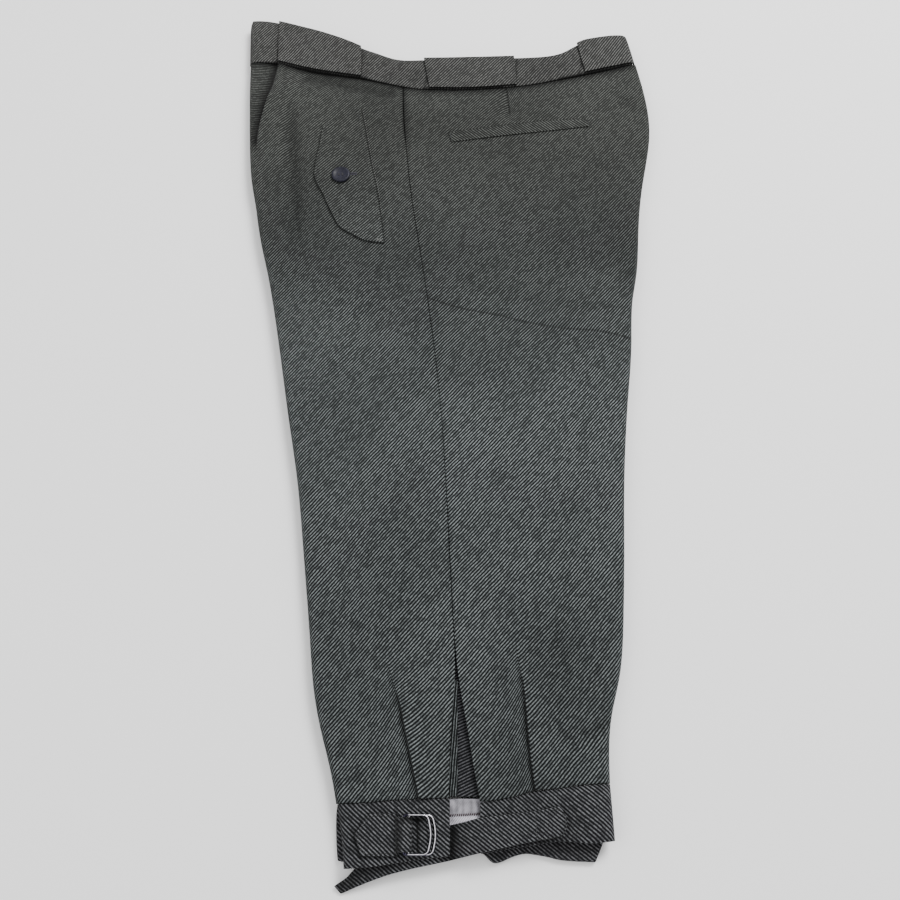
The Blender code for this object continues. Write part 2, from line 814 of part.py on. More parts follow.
def waist_end_column(side, angle, inset=0.0):
    """A column round one end of the left waistband: its outer point and its inner point."""
    inwards = 1.0 if side == "left" else -1.0
    turn = math.radians(angle)

    def at(y, drop):
        end = WAIST_ENDS.at(side, y) + inwards * inset
        base = WAIST_MIDDLE + GAP / 2.0
        outer_x = end + inwards * WAIST_ROUND * (1.0 - math.cos(turn))
        outer_z = base + (WAIST_TOP - drop - base) * math.sin(turn)
        inner_x = end + inwards * (WAIST_THICK + WAIST_INNER_ROUND * (1.0 - math.cos(turn)))
        inner_z = base + (WAIST_TOP - WAIST_THICK - base) * math.sin(turn)
        return (outer_x, outer_z), (inner_x, inner_z)

    return at


def waist_top_column(share, inset=0.0):
    def at(y, drop):
        left = WAIST_ENDS.at("left", y) + inset + WAIST_ROUND
        right = WAIST_ENDS.at("right", y) - inset - WAIST_ROUND
        x = mix(left, right, share)
        near = mix(left + WAIST_INNER_ROUND, right - WAIST_INNER_ROUND, share)
        return (x, WAIST_TOP - drop), (near, WAIST_TOP - WAIST_THICK)

    return at


def make_waistband(name, material, lower):
    """Half of the waistband; the right half is the left half turned over, lying on the floor."""
    inset = RIGHT_HALF_INSET if lower else 0.0
    columns = [waist_end_column("left", a, inset) for a in WAIST_ANGLES]
    columns += [waist_top_column(i / (WAIST_COLUMNS - 1), inset) for i in range(WAIST_COLUMNS)]
    columns += [waist_end_column("right", a, inset) for a in reversed(WAIST_ANGLES)]
    outer = []
    inner = []
    for share, drop in BAND_EDGES:
        flat_drop = 0.0 if lower else drop
        outer_row = []
        inner_row = []
        for column in columns:
            y = WAIST_Y
            for _ in range(SETTLE_TURNS):
                y = waist_y(column(y, flat_drop)[0][0], share)
            (outer_x, outer_z), (inner_x, inner_z) = column(y, flat_drop)
            set_back = RIGHT_HALF_SET_BACK * share if lower else 0.0
            if lower:
                outer_z = WAIST_TOP - outer_z
                inner_z = WAIST_TOP - inner_z
            outer_row.append((outer_x, y - set_back, outer_z))
            inner_row.append((inner_x, waist_y(inner_x, share) - set_back, inner_z))
        outer.append(outer_row)
        inner.append(inner_row)
    return closed_wall(name, outer, inner, material)


def make_belt_tunnel(name, edges, material):
    """A strip over the left waistband's full height, lying on the band and open at both ends."""
    reach_round = edges["rear"] is None
    outer = []
    inner = []
    base = WAIST_MIDDLE + GAP / 2.0
    rise = WAIST_TOP - base
    for share, drop in TUNNEL_EDGES:
        front = mix(edges["front"][0], edges["front"][1], share)
        if reach_round:
            rear = WAIST_ENDS.at("right", waist_y(TUNNEL_REAR_X, share)) - WAIST_ROUND
        else:
            rear = mix(edges["rear"][0], edges["rear"][1], share)
        section = []
        for k in range(TUNNEL_COLUMNS):
            section.append((mix(front, rear, k / (TUNNEL_COLUMNS - 1)), 90.0))
        if reach_round:
            section += [(rear, angle) for angle in TUNNEL_TURN]
        outer_row = []
        inner_row = []
        for centre_x, angle in section:
            turn = math.radians(angle)
            for row, out in ((outer_row, TUNNEL_LIFT + TUNNEL_THICK), (inner_row, TUNNEL_LIFT)):
                x = centre_x + (WAIST_ROUND + out) * math.cos(turn)
                y = waist_y(x, share) + TUNNEL_PROUD * max(share - 0.5, 0.0)
                z = base + (rise + out) * math.sin(turn) - (drop if row is outer_row else 0.0)
                row.append((x, y, z))
        outer.append(outer_row)
        inner.append(inner_row)
    return closed_wall(name, outer, inner, material)


def patch(name, outline, lift, thick, material, height):
    """A flat piece that lies on a panel, each of its points moved out from the panel's."""
    outer = [[(x, y, height(x, y) + lift + thick) for x, y in row] for row in outline]
    inner = [[(x, y, height(x, y) + lift) for x, y in row] for row in outline]
    return closed_wall(name, outer, inner, material)


def make_pocket_flap(material):
    outline = []
    for k in range(FLAP_ROWS):
        share = k / (FLAP_ROWS - 1)
        front_x, front_y, rear_x, rear_y = (FLAP.at(name, share) for name in FLAP.columns[1:])
        across = [j / (FLAP_COLUMNS - 1) for j in range(FLAP_COLUMNS)]
        outline.append([(mix(front_x, rear_x, s), mix(front_y, rear_y, s)) for s in across])
    height = lambda x, y: leg_height(x, y) + front_relief(x, y)
    return patch("pocket_flap", outline, RESTING, FLAP_THICK, material, height)


def make_back_welt(material):
    outline = []
    for share in WELT_ROWS:
        row = []
        for k in range(WELT_COLUMNS):
            along = k / (WELT_COLUMNS - 1)
            x0 = mix(WELT_LOWER.keys[0], WELT_LOWER.keys[-1], along)
            x1 = mix(WELT_UPPER.keys[0], WELT_UPPER.keys[-1], along)
            y = mix(WELT_LOWER.at("y", x0), WELT_UPPER.at("y", x1), share)
            row.append((mix(x0, x1, share), y))
        outline.append(row)
    height = lambda x, y: leg_height(x, y) + back_relief(x, y)
    return patch("back_welt", outline, RESTING, WELT_THICK, material, height)


def make_flap_button(material):
    """A dished button with a raised rim and two thread holes, turned about its own centre."""
    x, y = BUTTON_CENTRE
    base = leg_height(x, y) + front_relief(x, y) + RESTING + FLAP_THICK + GAP
    bm = bmesh.new()
    verts = [bm.verts.new((share * BUTTON_RADIUS * MM, 0.0, z * MM)) for share, z in BUTTON_PROFILE]
    edges = [bm.edges.new(pair) for pair in zip(verts, verts[1:])]
    bmesh.ops.spin(
        bm,
        geom=verts + edges,
        axis=(0, 0, 1),
        cent=(0, 0, 0),
        angle=2.0 * math.pi,
        steps=BUTTON_STEPS,
        use_merge=True,
    )
    bmesh.ops.remove_doubles(bm, verts=bm.verts, dist=1e-7)
    bmesh.ops.holes_fill(bm, edges=[e for e in bm.edges if e.is_boundary], sides=0)
    button = make_object("flap_button", bm, material)
    button.location = (x * MM, y * MM, base * MM)
    holes = bmesh.new()
    for side in (-1.0, 1.0):
        made = bmesh.ops.create_cone(
            holes,
            cap_ends=True,
            segments=HOLE_SIDES,
            radius1=HOLE_RADIUS * MM,
            radius2=HOLE_RADIUS * MM,
            depth=HOLE_DEPTH * MM,
        )
        bmesh.ops.translate(holes, verts=made["verts"], vec=(side * HOLE_OFFSET * MM, 0.0, 0.0))
    cutter = make_object("flap_button_holes", holes, material)
    cutter.location = button.location
    cutter.hide_render = True
    cutter.display_type = "WIRE"
    cut = button.modifiers.new("holes", "BOOLEAN")
    cut.object = cutter
    return button


def make_vent_piece(name, edges, depth, thick, material):
    """A strip under the vent between two lines, at one depth below the leg's outer face."""
    outer = []
    inner = []
    foot = KNEE.at("seam", VENT_FOOT_X) + VENT_FOOT_CLEAR
    for k in range(VENT_ROWS):
        outer_row = []
        inner_row = []
        for j in range(VENT_COLUMNS):
            y = mix(foot, edges["top"], k / (VENT_ROWS - 1))
            x = mix(edges["front"](y), edges["back"](y), j / (VENT_COLUMNS - 1))
            z = leg_height(x, y) - depth
            outer_row.append((x, y, z))
            inner_row.append((x, y, z - thick))
        outer.append(outer_row)
        inner.append(inner_row)
    return closed_wall(name, outer, inner, material)


def knee_ring_path():
    """Columns round the left kneeband: front end, front fold, beneath, back fold and back end."""
    under = KNEE_UNDER_COLUMNS
    path = [("top", "front", i / KNEE_FRONT_COLUMNS) for i in range(KNEE_FRONT_COLUMNS)]
    path += [("left", a, 0.0) for a in KNEE_ANGLES]
    path += [("under", "", i / (under + 1)) for i in range(1, under + 1)]
    path += [("right", a, 0.0) for a in reversed(KNEE_ANGLES)]
    path += [("top", "back", i / KNEE_BACK_COLUMNS) for i in range(1, KNEE_BACK_COLUMNS + 1)]
    return path


def knee_ring_point(place, y, drop):
    """Outer point and outward direction of one column of the left kneeband."""
    kind, detail, share = place
    left = KNEE_FOLDS.at("left", y) + KNEE_ROUND
    right = KNEE_FOLDS.at("right", y) - KNEE_ROUND
    if kind == "top":
        start, end = (KNEE_FRONT_END, left) if detail == "front" else (right, KNEE_BACK_END)
        return mix(start, end, share), KNEE_TOP - drop, 0.0, 1.0
    if kind == "under":
        return mix(left, right, share), KNEE_PARTING, 0.0, -1.0
    half = (KNEE_TOP - KNEE_PARTING) / 2.0
    turn = math.radians(detail)
    outwards = -1.0 if kind == "left" else 1.0
    centre = left if kind == "left" else right
    x = centre + outwards * KNEE_ROUND * math.cos(turn)
    z = KNEE_PARTING + half + half * math.sin(turn) - drop * max(math.sin(turn), 0.0)
    return x, z, outwards * math.cos(turn), math.sin(turn)


def make_kneeband_left(material):
    outer = []
    inner = []
    for share, drop in KNEE_EDGES:
        outer_row = []
        inner_row = []
        for place in knee_ring_path():
            y = KNEE_Y
            rise = KNEE_UNDER_RISE if place[0] == "under" else 0.0
            for _ in range(SETTLE_TURNS):
                x = knee_ring_point(place, y, drop)[0]
                hem = KNEE.at("hem", x) + rise
                y = mix(hem, KNEE.at("seam", x) - SEAM_HALF_GAP, share)
            x, z, across, up = knee_ring_point(place, y, drop)
            _, plain_z, _, _ = knee_ring_point(place, y, 0.0)
            outer_row.append((x, y, z))
            inner_row.append((x - KNEE_WALL * across, y, plain_z - KNEE_WALL * up))
        outer.append(outer_row)
        inner.append(inner_row)
    return closed_wall("kneeband_left", outer, inner, material)


def make_kneeband_right(material):
    """Both layers of the right kneeband, pressed flat, with a groove round the edge between them."""
    steps = range(len(RIGHT_KNEE_STEPS))
    places = [("left", k) for k in steps]
    places += [("middle", i / (RIGHT_KNEE_COLUMNS - 1)) for i in range(RIGHT_KNEE_COLUMNS)]
    places += [("right", k) for k in reversed(steps)]
    outer = []
    inner = []
    for share in RIGHT_KNEE_ROWS:
        top = RIGHT_KNEE_TOP - (RIGHT_KNEE_HEM_DROP if share == 0.0 else 0.0)
        upper_row = []
        lower_row = []
        for side, detail in places:
            y = KNEE_Y
            for _ in range(SETTLE_TURNS):
                left = UNDER_ENDS.at("left", y)
                right = UNDER_ENDS.at("right", y)
                if side == "middle":
                    x = mix(left + RIGHT_KNEE_CLEAR, right - RIGHT_KNEE_CLEAR, detail)
                    z = top
                    foot = x
                else:
                    inset, z = RIGHT_KNEE_STEPS[detail]
                    z = min(z, top)
                    end, inwards = (left, 1.0) if side == "left" else (right, -1.0)
                    x = end + inwards * inset
                    foot = end + inwards * (RIGHT_KNEE_FOOT + RIGHT_KNEE_FOOT_STEP * detail)
                y = mix(UNDER_HEM.at("hem", x), KNEE.at("seam", x) - SEAM_HALF_GAP, share)
            upper_row.append((x, y, z))
            lower_row.append((foot, y, 0.0))
        outer.append(upper_row)
        inner.append(lower_row)
    return closed_wall("kneeband_right", outer, inner, material)


def make_kneeband_lining(material):
    base = KNEE_PARTING + KNEE_WALL + GAP
    across = [mix(*LINING_X, k / (LINING_COLUMNS - 1)) for k in range(LINING_COLUMNS)]
    outline = [[(x, mix(*LINING_Y, share)) for x in across] for share in (0.0, 0.5, 1.0)]
    return patch("kneeband_lining", outline, 0.0, LINING_THICK, material, lambda x, y: base)


def make_knee_strap(material):
    """A strip between two edges, each through its named places."""
    outer = []
    inner = []
    rows = []
    for first, second in zip(STRAP, STRAP[1:]):
        rows.append(first)
        halfway = {}
        for edge in ("upper", "lower"):
            halfway[edge] = tuple(mix(a, b, 0.5) for a, b in zip(first[edge], second[edge]))
        rows.append(halfway)
    rows.append(STRAP[-1])
    last = STRAP_COLUMNS - 1
    for row in rows:
        points = []
        for k in range(STRAP_COLUMNS):
            x, y, z = (mix(a, b, k / last) for a, b in zip(row["lower"], row["upper"]))
            if x > STRAP_FREE_X and y > KNEE.at("hem", x) - STRAP_FREE_BELOW_HEM:
                z = max(z, STRAP_REST)
            points.append((x, y, z))
        inner.append(points)
        outer.append([(x, y, z + STRAP_THICK) for x, y, z in points])
    return closed_wall("knee_strap", outer, inner, material)


def hull_point(circles, turn):
    """The point of the rounded hull of some circles that lies furthest in one direction."""
    across = math.cos(turn)
    up = math.sin(turn)
    (x, z), radius = max(circles, key=lambda c: c[0][0] * across + c[0][1] * up + c[1])
    return x + radius * across, z + radius * up


def make_ring_tab(material):
    """A pointed double tab with a loop of cloth at its end round both bars."""
    bars = ((UPPER_BAR, CHANNEL_RADIUS), (LOWER_BAR, CHANNEL_RADIUS))
    channel = bars + ((STITCH_POINT, STITCH_RADIUS),)
    cloth = [(centre, radius + LOOP_WALL) for centre, radius in channel]
    turns = [2.0 * math.pi * (k + 0.5) / LOOP_SIDES for k in range(LOOP_SIDES)]
    outer = []
    inner = []
    for side in (-1.0, 1.0):
        y = TAB_CENTRE_Y + side * LOOP_HALF_WIDTH
        outer.append([(x, y, z) for x, z in (hull_point(cloth, t) for t in turns)])
        inner.append([(x, y, z) for x, z in (hull_point(channel, t) for t in turns)])
    loop = closed_wall("ring_tab_loop", outer, inner, material, ring=True)
    loop.hide_render = True
    loop.display_type = "WIRE"
    base = KNEE_TOP + GAP
    low = TAB_CENTRE_Y - TAB_HALF_WIDTH
    high = TAB_CENTRE_Y + TAB_HALF_WIDTH
    plan = (
        (TAB_TIP_X, TAB_CENTRE_Y),
        (TAB_LOWER_SHOULDER_X, low),
        (TAB_END_X, low),
        (TAB_END_X, high),
        (TAB_UPPER_SHOULDER_X, high),
    )
    bm = bmesh.new()
    outline = bm.faces.new([bm.verts.new((x * MM, y * MM, base * MM)) for x, y in plan])
    raised = bmesh.ops.extrude_face_region(bm, geom=[outline])
    top = [v for v in raised["geom"] if isinstance(v, bmesh.types.BMVert)]
    bmesh.ops.translate(bm, verts=top, vec=(0.0, 0.0, TAB_THICK * MM))
    top_edges = [e for e in bm.edges if all(v in top for v in e.verts)]
    bmesh.ops.bevel(bm, geom=top_edges, offset=TAB_BEVEL * MM, segments=2, profile=0.5, affect="EDGES")
    tab = make_object("ring_tab", bm, material)
    joined = tab.modifiers.new("loop", "BOOLEAN")
    joined.operation = "UNION"
    joined.object = loop
    return tab


def rounded_path(corners):
    """A closed path with an arc of the given radius and steps at each corner."""
    path = []
    count = len(corners)
    for k, (x, y, radius, steps) in enumerate(corners):
        bx, by = corners[k - 1][:2]
        ax, ay = corners[(k + 1) % count][:2]
        back = math.atan2(by - y, bx - x)
        ahead = math.atan2(ay - y, ax - x)
        half = abs((ahead - back + math.pi) % (2.0 * math.pi) - math.pi) / 2.0
        bisector = math.atan2(math.sin(back) + math.sin(ahead), math.cos(back) + math.cos(ahead))
        distance = radius / math.sin(half)
        cx = x + distance * math.cos(bisector)
        cy = y + distance * math.sin(bisector)
        sweep = math.pi - 2.0 * half
        turning = math.copysign(1.0, (x - bx) * (ay - y) - (y - by) * (ax - x))
        for step in range(steps + 1):
            turn = bisector + math.pi + turning * sweep * (step / steps - 0.5)
            path.append((cx + radius * math.cos(turn), cy + radius * math.sin(turn)))
    return path


def make_d_ring(name, bar, material):
    """A wire ring swept along a D, its straight bar on the object's own Y axis."""
    path = rounded_path(
        (
            (0.0, -RING_HALF_HEIGHT, BAR_CORNER, BAR_CORNER_STEPS),
            (RING_SHOULDER, -RING_HALF_HEIGHT, RING_CORNER, RING_CORNER_STEPS),
            (RING_REACH + RING_END_OUT, 0.0, RING_END_RADIUS, RING_CORNER_STEPS),
            (RING_SHOULDER, RING_HALF_HEIGHT, RING_CORNER, RING_CORNER_STEPS),
            (0.0, RING_HALF_HEIGHT, BAR_CORNER, BAR_CORNER_STEPS),
        )
    )
    count = len(path)
    rows = []
    for k, (u, v) in enumerate(path):
        before = path[k - 1]
        after = path[(k + 1) % count]
        heading = math.atan2(after[1] - before[1], after[0] - before[0])
        ring = []
        for s in range(WIRE_SIDES):
            turn = 2.0 * math.pi * s / WIRE_SIDES
            across = WIRE_RADIUS * math.cos(turn)
            point_u = u + math.sin(heading) * across
            point_v = v - math.cos(heading) * across
            ring.append((point_u, point_v, WIRE_RADIUS * math.sin(turn)))
        rows.append(ring)
    bm = bmesh.new()
    verts = [[bm.verts.new([c * MM for c in point]) for point in ring] for ring in rows]
    for k in range(count):
        after = (k + 1) % count
        for s in range(WIRE_SIDES):
            t = (s + 1) % WIRE_SIDES
            bm.faces.new([verts[k][s], verts[after][s], verts[after][t], verts[k][t]])
    ring = make_object(name, bm, material)
    ring.location = (bar[0] * MM, TAB_CENTRE_Y * MM, bar[1] * MM)
    ring.rotation_euler = (0.0, RING_TILT, 0.0)
    return ring


def centre_on_origin(objects):
    """Moves the whole model so that the middle of its base is the origin."""
    bpy.context.view_layer.update()
    corners = []
    for made in objects:
        corners += [made.matrix_world @ v.co for v in made.data.vertices]
    middle_x = (min(c.x for c in corners) + max(c.x for c in corners)) / 2.0
    middle_y = (min(c.y for c in corners) + max(c.y for c in corners)) / 2.0
    for made in bpy.data.objects:
        made.location.x -= middle_x
        made.location.y -= middle_y


def main():
    for old in list(bpy.data.objects):
        bpy.data.objects.remove(old)
    wool = {
        name: make_material("wool_" + name, WOOL, 0.9)
        for name in WOOL_PIECES
    }
    inside = make_material("wool_inside", WOOL_DARK, 0.95)
    lining = make_material("light_lining", LINING, 0.8)
    horn = make_material("dark_button", BUTTON, 0.35)
    steel = make_material("polished_wire", STEEL, 0.15, 1.0)
    made = [
        make_front_panel(wool["front"]),
        make_back_panel(wool["back"]),
        make_hidden_layers(inside),
        make_waistband("waistband_left", wool["waistband"], lower=False),
        make_waistband("waistband_right", wool["waistband"], lower=True),
    ]
    for name, edges in TUNNELS.items():
        made.append(make_belt_tunnel(name, edges, wool["tunnel"]))
    made.append(make_pocket_flap(wool["flap"]))
    made.append(make_back_welt(wool["welt"]))
    made.append(make_flap_button(horn))
    below_panel = WALL + GAP
    facing = {
        "top": FACING_TOP,
        "front": shifted(front_edge, -FACING_FRONT_LAP),
        "back": lambda y: min(back_edge(y) - FACING_BACK_CLEAR, FACING_BACK_LIMIT),
    }
    made.append(make_vent_piece("vent_facing", facing, below_panel, FACING_THICK, wool["front"]))
    underlap = {
        "top": VENT_TOP,
        "front": shifted(front_edge, -UNDERLAP_FRONT_LAP),
        "back": shifted(back_edge, UNDERLAP_BACK_LAP),
    }
    deeper = below_panel + FACING_THICK + GAP
    made.append(make_vent_piece("vent_underlap", underlap, deeper, UNDERLAP_THICK, inside))
    made.append(make_kneeband_left(wool["kneeband"]))
    made.append(make_kneeband_right(wool["kneeband"]))
    made.append(make_kneeband_lining(lining))
    made.append(make_knee_strap(wool["strap"]))
    made.append(make_ring_tab(wool["tab"]))
    made.append(make_d_ring("d_ring_upper", UPPER_BAR, steel))
    made.append(make_d_ring("d_ring_lower", LOWER_BAR, steel))
    centre_on_origin(made)


main()
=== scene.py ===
"""Knee breeches laid flat in profile: twill shells, stitching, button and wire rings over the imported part.

Lengths are in millimetres unless a name says otherwise, and are turned into metres where a mesh is made.
"""

import logging
import math
from dataclasses import dataclass
from enum import Enum
from typing import Callable, Sequence

import bmesh
import bpy
import numpy as np
from mathutils import Matrix, Vector, noise
from mathutils.bvhtree import BVHTree

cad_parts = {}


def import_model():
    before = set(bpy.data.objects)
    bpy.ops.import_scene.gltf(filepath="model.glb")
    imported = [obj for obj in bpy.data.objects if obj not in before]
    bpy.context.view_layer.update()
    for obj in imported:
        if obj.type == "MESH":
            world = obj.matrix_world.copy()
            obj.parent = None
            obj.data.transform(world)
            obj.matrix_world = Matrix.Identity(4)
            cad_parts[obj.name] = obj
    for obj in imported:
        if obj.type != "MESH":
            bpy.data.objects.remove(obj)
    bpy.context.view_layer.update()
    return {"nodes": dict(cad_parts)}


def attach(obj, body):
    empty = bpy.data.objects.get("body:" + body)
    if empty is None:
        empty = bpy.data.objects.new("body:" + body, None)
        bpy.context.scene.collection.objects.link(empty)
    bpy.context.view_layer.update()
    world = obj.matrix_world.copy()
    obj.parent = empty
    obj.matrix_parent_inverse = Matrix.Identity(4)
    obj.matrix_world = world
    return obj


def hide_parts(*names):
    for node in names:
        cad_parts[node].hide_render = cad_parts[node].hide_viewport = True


MM = 0.001
WEAVE_MAP = "weave"
SHADE_MAP = "crease_shade"
LEGS_TOP = 15.0
Point = tuple[float, float]
Colour = tuple[float, float, float, float]

log = logging.getLogger("breeches")


class Turn(Enum):
    """Where a piece of cloth turns down: at the fold on one side, at both, or only over its rim."""

    FRONT_FOLD = "front"
    BACK_FOLD = "back"
    BOTH_FOLDS = "both"
    RIM = "rim"

    def pull(self, x: np.ndarray) -> np.ndarray:
        """Which way, and how much, the drop of the cloth is added across it at each place."""
        if self is Turn.FRONT_FOLD:
            return np.full(len(x), -1.0)
        if self is Turn.BACK_FOLD:
            return np.full(len(x), 1.0)
        if self is Turn.BOTH_FOLDS:
            return np.sign(x) * eased((np.abs(x) - 60.0) / 30.0)
        return np.zeros(len(x))


def smooth_line(points: Sequence[Point], steps: int = 8) -> np.ndarray:
    """Rounds a given line.

    Args:
        points: The places that the line runs through, in millimetres.
        steps: How many stretches each span is divided into.

    Returns:
        An array of points on a smooth curve through them all.
    """
    given = np.array(points, float)
    padded = np.vstack([2 * given[0] - given[1], given, 2 * given[-1] - given[-2]])
    made = []
    for k in range(len(given) - 1):
        before, start, end, after = padded[k : k + 4]
        for step in range(steps):
            t = step / steps
            made.append(
                0.5
                * (
                    2 * start
                    + (end - before) * t
                    + (2 * before - 5 * start + 4 * end - after) * t * t
                    + (3 * start - before - 3 * end + after) * t**3
                )
            )
    made.append(given[-1])
    return np.array(made)


def eased(share: np.ndarray) -> np.ndarray:
    """A share from 0 to 1, eased at both ends."""
    held = np.clip(share, 0.0, 1.0)
    return held * held * (3.0 - 2.0 * held)


@dataclass(frozen=True)
class Crease:
    """One crease, seam or hollow, placed along a given line.

    Attributes:
        points: The places that it runs through, in millimetres.
        left: Lift of the cloth beside the line on the left of its run.
        right: The same on the right.
        reach: How far the lift carries, left and right.
        dark: Share of the light that is lost in the line.
        soft: How far the dark carries, left and right.
        fade: Share of the line's length over which it starts, and over which it ends.
        drag: How far the weave is dragged along, left and right.
        dragged: How far the drag carries, left and right.
    """

    points: tuple[Point, ...]
    left: float = 0.0
    right: float = 0.0
    reach: Point = (6.0, 6.0)
    dark: float = 0.0
    soft: Point = (1.0, 1.0)
    fade: Point = (0.25, 0.25)
    drag: Point = (0.0, 0.0)
    dragged: Point = (12.0, 12.0)

    def furthest(self) -> float:
        """How far from its line the crease still matters."""
        return 3.0 * max(*self.reach, *self.soft, *(self.dragged if any(self.drag) else (0.0,)))

    def measure(self, x: np.ndarray, y: np.ndarray) -> tuple[np.ndarray, np.ndarray]:
        """Finds where places lie beside the line.

        Args:
            x: Places across the garment, in millimetres.
            y: Places along it.

        Returns:
            Distance from the line, more than nothing on its left, and the crease's strength there.
        """
        line = smooth_line(self.points)
        nearest = np.full(len(x), 1e9)
        side = np.ones(len(x))
        along = np.zeros(len(x))
        spans = len(line) - 1
        for k in range(spans):
            (ax, ay), (bx, by) = line[k], line[k + 1]
            dx, dy = bx - ax, by - ay
            share = np.clip(((x - ax) * dx + (y - ay) * dy) / (dx * dx + dy * dy), 0.0, 1.0)
            off_x, off_y = x - ax - share * dx, y - ay - share * dy
            distance = np.hypot(off_x, off_y)
            closer = distance < nearest
            nearest = np.where(closer, distance, nearest)
            side = np.where(closer, np.where(dx * off_y - dy * off_x < 0.0, -1.0, 1.0), side)
            along = np.where(closer, (k + share) / spans, along)
        start, end = self.fade
        strength = np.ones(len(x))
        if start:
            strength = strength * eased(along / start)
        if end:
            strength = strength * eased((1.0 - along) / end)
        return nearest * side, strength

    def near(self, x: np.ndarray, y: np.ndarray) -> np.ndarray:
        """Which places lie near enough to be moved or darkened."""
        xs, ys = zip(*self.points)
        far = self.furthest()
        return (x > min(xs) - far) & (x < max(xs) + far) & (y > min(ys) - far) & (y < max(ys) + far)

    def lift(self, away: np.ndarray, strength: np.ndarray) -> np.ndarray:
        """Lift of the cloth at measured places, in millimetres."""
        on_left = eased((away + 0.35) / 0.7)
        left = self.left * np.exp(-((away / self.reach[0]) ** 2))
        right = self.right * np.exp(-((away / self.reach[1]) ** 2))
        return strength * (right + (left - right) * on_left)

    def shade(self, away: np.ndarray, strength: np.ndarray) -> np.ndarray:
        """Share of the light that is lost at measured places."""
        soft = np.where(away > 0.0, self.soft[0], self.soft[1])
        return self.dark * strength * np.exp(-((np.abs(away) / soft) ** 1.5))

    def pulled(self, away: np.ndarray, strength: np.ndarray) -> np.ndarray:
        """How far the weave is dragged along at measured places, in millimetres."""
        width = np.where(away > 0.0, self.dragged[0], self.dragged[1])
        amount = np.where(away > 0.0, self.drag[0], self.drag[1])
        return amount * strength * np.exp(-np.abs(away) / width)


@dataclass(frozen=True)
class Relief:
    """All the creases of one part of the garment, with a slow unevenness between them."""

    creases: tuple[Crease, ...]
    swell: float = 0.35
    reach: float = 70.0
    fine: float = 0.12

    def total(self, how: str, x: np.ndarray, y: np.ndarray) -> np.ndarray:
        """Adds up one effect of all the creases.

        Args:
            how: Name of the crease's method, "lift", "shade" or "pulled".
            x: Places across the garment, in millimetres.
            y: Places along it.

        Returns:
            The sum at each place; for the shade, the darkest and half of what else falls there.
        """
        total = np.zeros(len(x))
        darkest = np.zeros(len(x))
        for crease in self.creases:
            chosen = crease.near(x, y)
            if not chosen.any():
                continue
            away, strength = crease.measure(x[chosen], y[chosen])
            effect = getattr(crease, how)(away, strength)
            total[chosen] += effect
            darkest[chosen] = np.maximum(darkest[chosen], effect)
        return darkest + 0.5 * (total - darkest) if how == "shade" else total

    def lift(self, x: np.ndarray, y: np.ndarray) -> np.ndarray:
        """Lift of the cloth at each place, creases and unevenness together, in millimetres."""
        slow = [noise.noise(Vector((a / self.reach, b / self.reach, 1.7))) for a, b in zip(x, y)]
        quick = [noise.noise(Vector((a / 17.0, b / 23.0, 5.3))) for a, b in zip(x, y)]
        return self.total("lift", x, y) + self.swell * np.array(slow) + self.fine * np.array(quick)


